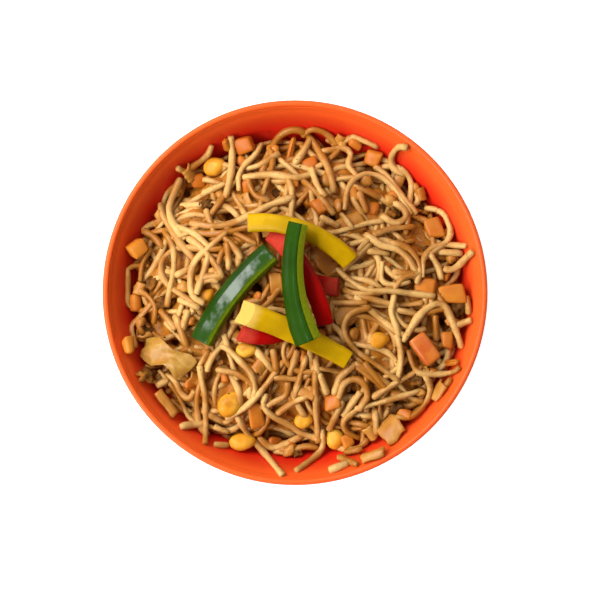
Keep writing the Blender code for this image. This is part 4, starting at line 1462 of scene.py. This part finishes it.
class NOODLES_OT_leaf(bpy.types.Operator):
    """Makes the wavy piece of cabbage"""

    bl_idname = "noodles.leaf"
    bl_label = "Cabbage"

    def execute(self, context):
        line, length = middle_line("cabbage_leaf", even(bent_run(LEAF_RUN), LEAF_POINTS))
        work = bmesh.new()
        bmesh.ops.create_grid(work, x_segments=48, y_segments=24, size=0.5)
        for vertex in work.verts:
            share, side = vertex.co.x + 0.5, -vertex.co.y
            station = share * (len(LEAF_WIDTHS) - 1)
            width = np.interp(station, range(len(LEAF_WIDTHS)), LEAF_WIDTHS)
            ruffle = noise.noise(Vector((share * 6, side * 4, 3))) * 0.5 * MM
            wave = LEAF_WAVE * math.sin(1.3 * station + 5 * side)
            vertex.co = (share * length, -side * width, wave + ruffle)
        whole = work.verts[:] + work.edges[:] + work.faces[:]
        bmesh.ops.solidify(work, geom=whole, thickness=LEAF_THICKNESS)
        for vertex in work.verts:
            vertex.co.z -= LEAF_THICKNESS / 2
        bend_blank(work, line)
        material = cabbage_material(context.scene.vegetable_settings.cabbage)
        finish_piece(mesh_of(work, "cabbage_piece"), material, "cabbage_leaf")
        return {"FINISHED"}


class NOODLES_OT_carrot(bpy.types.Operator):
    """Makes the thick stick of carrot at the right"""

    bl_idname = "noodles.carrot"
    bl_label = "Carrot Stick"

    def execute(self, context):
        line, length = middle_line("carrot_stick", bent_run(CARROT_RUN))
        draw = np.random.default_rng(2)
        work = soft_block(Vector((length, CARROT_WIDTH, CARROT_DEPTH)), CARROT_BEVEL, 2, 0.05, draw)
        bmesh.ops.translate(work, vec=(length / 2, 0, 0), verts=work.verts)
        bend_blank(work, line)
        shader = Shader("bright_carrot")
        rings = shader.noise(2.5 * MM, 3)
        material = shader.moist(
            colour=shader.mix(shader.step(rings, 0.35, 0.7), linear(196, 108, 34), linear(184, 82, 20)),
            roughness=0.38,
            normal=shader.bump(rings, 0.2 * MM, 0.5),
            coat=(0.15, 0.12),
            gloss=0.3,
            scatter=(0.2, 1.5 * MM, (1, 0.4, 0.15)),
        )
        finish_piece(mesh_of(work, "carrot_stick_cut"), material, "carrot_stick")
        return {"FINISHED"}


# ---- stage


def add_light(name, power, size, azimuth, elevation, distance):
    """A square soft light that faces the bowl from a compass direction and height, in degrees."""
    lamp = bpy.data.lights.new(name, "AREA")
    lamp.energy = power
    lamp.size = size
    light = bpy.data.objects.new(name, lamp)
    bpy.context.scene.collection.objects.link(light)
    turn, rise = math.radians(azimuth), math.radians(elevation)
    direction = Vector((math.cos(turn) * math.cos(rise), math.sin(turn) * math.cos(rise), math.sin(rise)))
    light.location = direction * distance
    light.rotation_euler = (-direction).to_track_quat("-Z", "Y").to_euler()


class NOODLES_OT_stage(bpy.types.Operator):
    """Sets up the floor, lights and the camera above the bowl"""

    bl_idname = "noodles.stage"
    bl_label = "Stage"

    def execute(self, context):
        settings = context.scene.stage_settings
        scene = context.scene
        work = bmesh.new()
        bmesh.ops.create_grid(work, x_segments=1, y_segments=1, size=3)
        floor = bpy.data.objects.new("floor", mesh_of(work, "floor"))
        scene.collection.objects.link(floor)
        shader = Shader("floor")
        glow = {"Emission_Color": (1, 1, 1, 1), "Emission_Strength": 0.8}
        floor.data.materials.append(shader.set(Base_Color=settings.floor, Roughness=0.9, **glow))

        focus = Vector((0, 0, RIM_HEIGHT))
        lens = bpy.data.cameras.new("camera")
        lens.lens = lens.sensor_width * settings.distance / FRAME_WIDTH
        lens.shift_y = VIEW_SHIFT
        camera = bpy.data.objects.new("camera", lens)
        scene.collection.objects.link(camera)
        offset = Vector((0, -math.sin(settings.tilt), math.cos(settings.tilt))) * settings.distance
        camera.location = focus + offset
        camera.rotation_euler = (-offset).to_track_quat("-Z", "Y").to_euler()
        scene.camera = camera

        for name, (share, *placing) in LIGHTS.items():
            add_light(name, settings.key * share, *placing)
        world = bpy.data.worlds.new("surround")
        world.use_nodes = True
        surround = world.node_tree.nodes["Background"].inputs
        surround["Color"].default_value = (1, 1, 1, 1)
        surround["Strength"].default_value = settings.surround
        scene.world = world
        scene.view_settings.view_transform = "Standard"
        return {"FINISHED"}


# ---- add-on


class NOODLES_PT_panel(bpy.types.Panel):
    """Lists the steps that build the bowl of noodles"""

    bl_label = "Bowl of Noodles"
    bl_space_type = "VIEW_3D"
    bl_region_type = "UI"
    bl_category = "Noodles"

    def draw(self, context):
        for operator in OPERATORS:
            self.layout.operator(operator.bl_idname)


OPERATORS = [
    NOODLES_OT_bowl,
    NOODLES_OT_under,
    NOODLES_OT_core,
    NOODLES_OT_vegetables,
    NOODLES_OT_shown,
    NOODLES_OT_herbs,
    NOODLES_OT_leaf,
    NOODLES_OT_carrot,
    NOODLES_OT_peppers,
    NOODLES_OT_stage,
]
SETTINGS = {
    "bowl_settings": BowlSettings,
    "noodle_settings": NoodleSettings,
    "vegetable_settings": VegetableSettings,
    "pepper_settings": PepperSettings,
    "stage_settings": StageSettings,
}
built = {}


def register():
    for group in (*SETTINGS.values(), *OPERATORS, NOODLES_PT_panel):
        bpy.utils.register_class(group)
    for name, group in SETTINGS.items():
        setattr(bpy.types.Scene, name, PointerProperty(type=group))


def unregister():
    for name in SETTINGS:
        delattr(bpy.types.Scene, name)
    for group in (*SETTINGS.values(), *OPERATORS, NOODLES_PT_panel):
        bpy.utils.unregister_class(group)


def main():
    register()
    for operator in OPERATORS:
        group, name = operator.bl_idname.split(".")
        getattr(getattr(bpy.ops, group), name)()


if __name__ == "__main__":
    main()
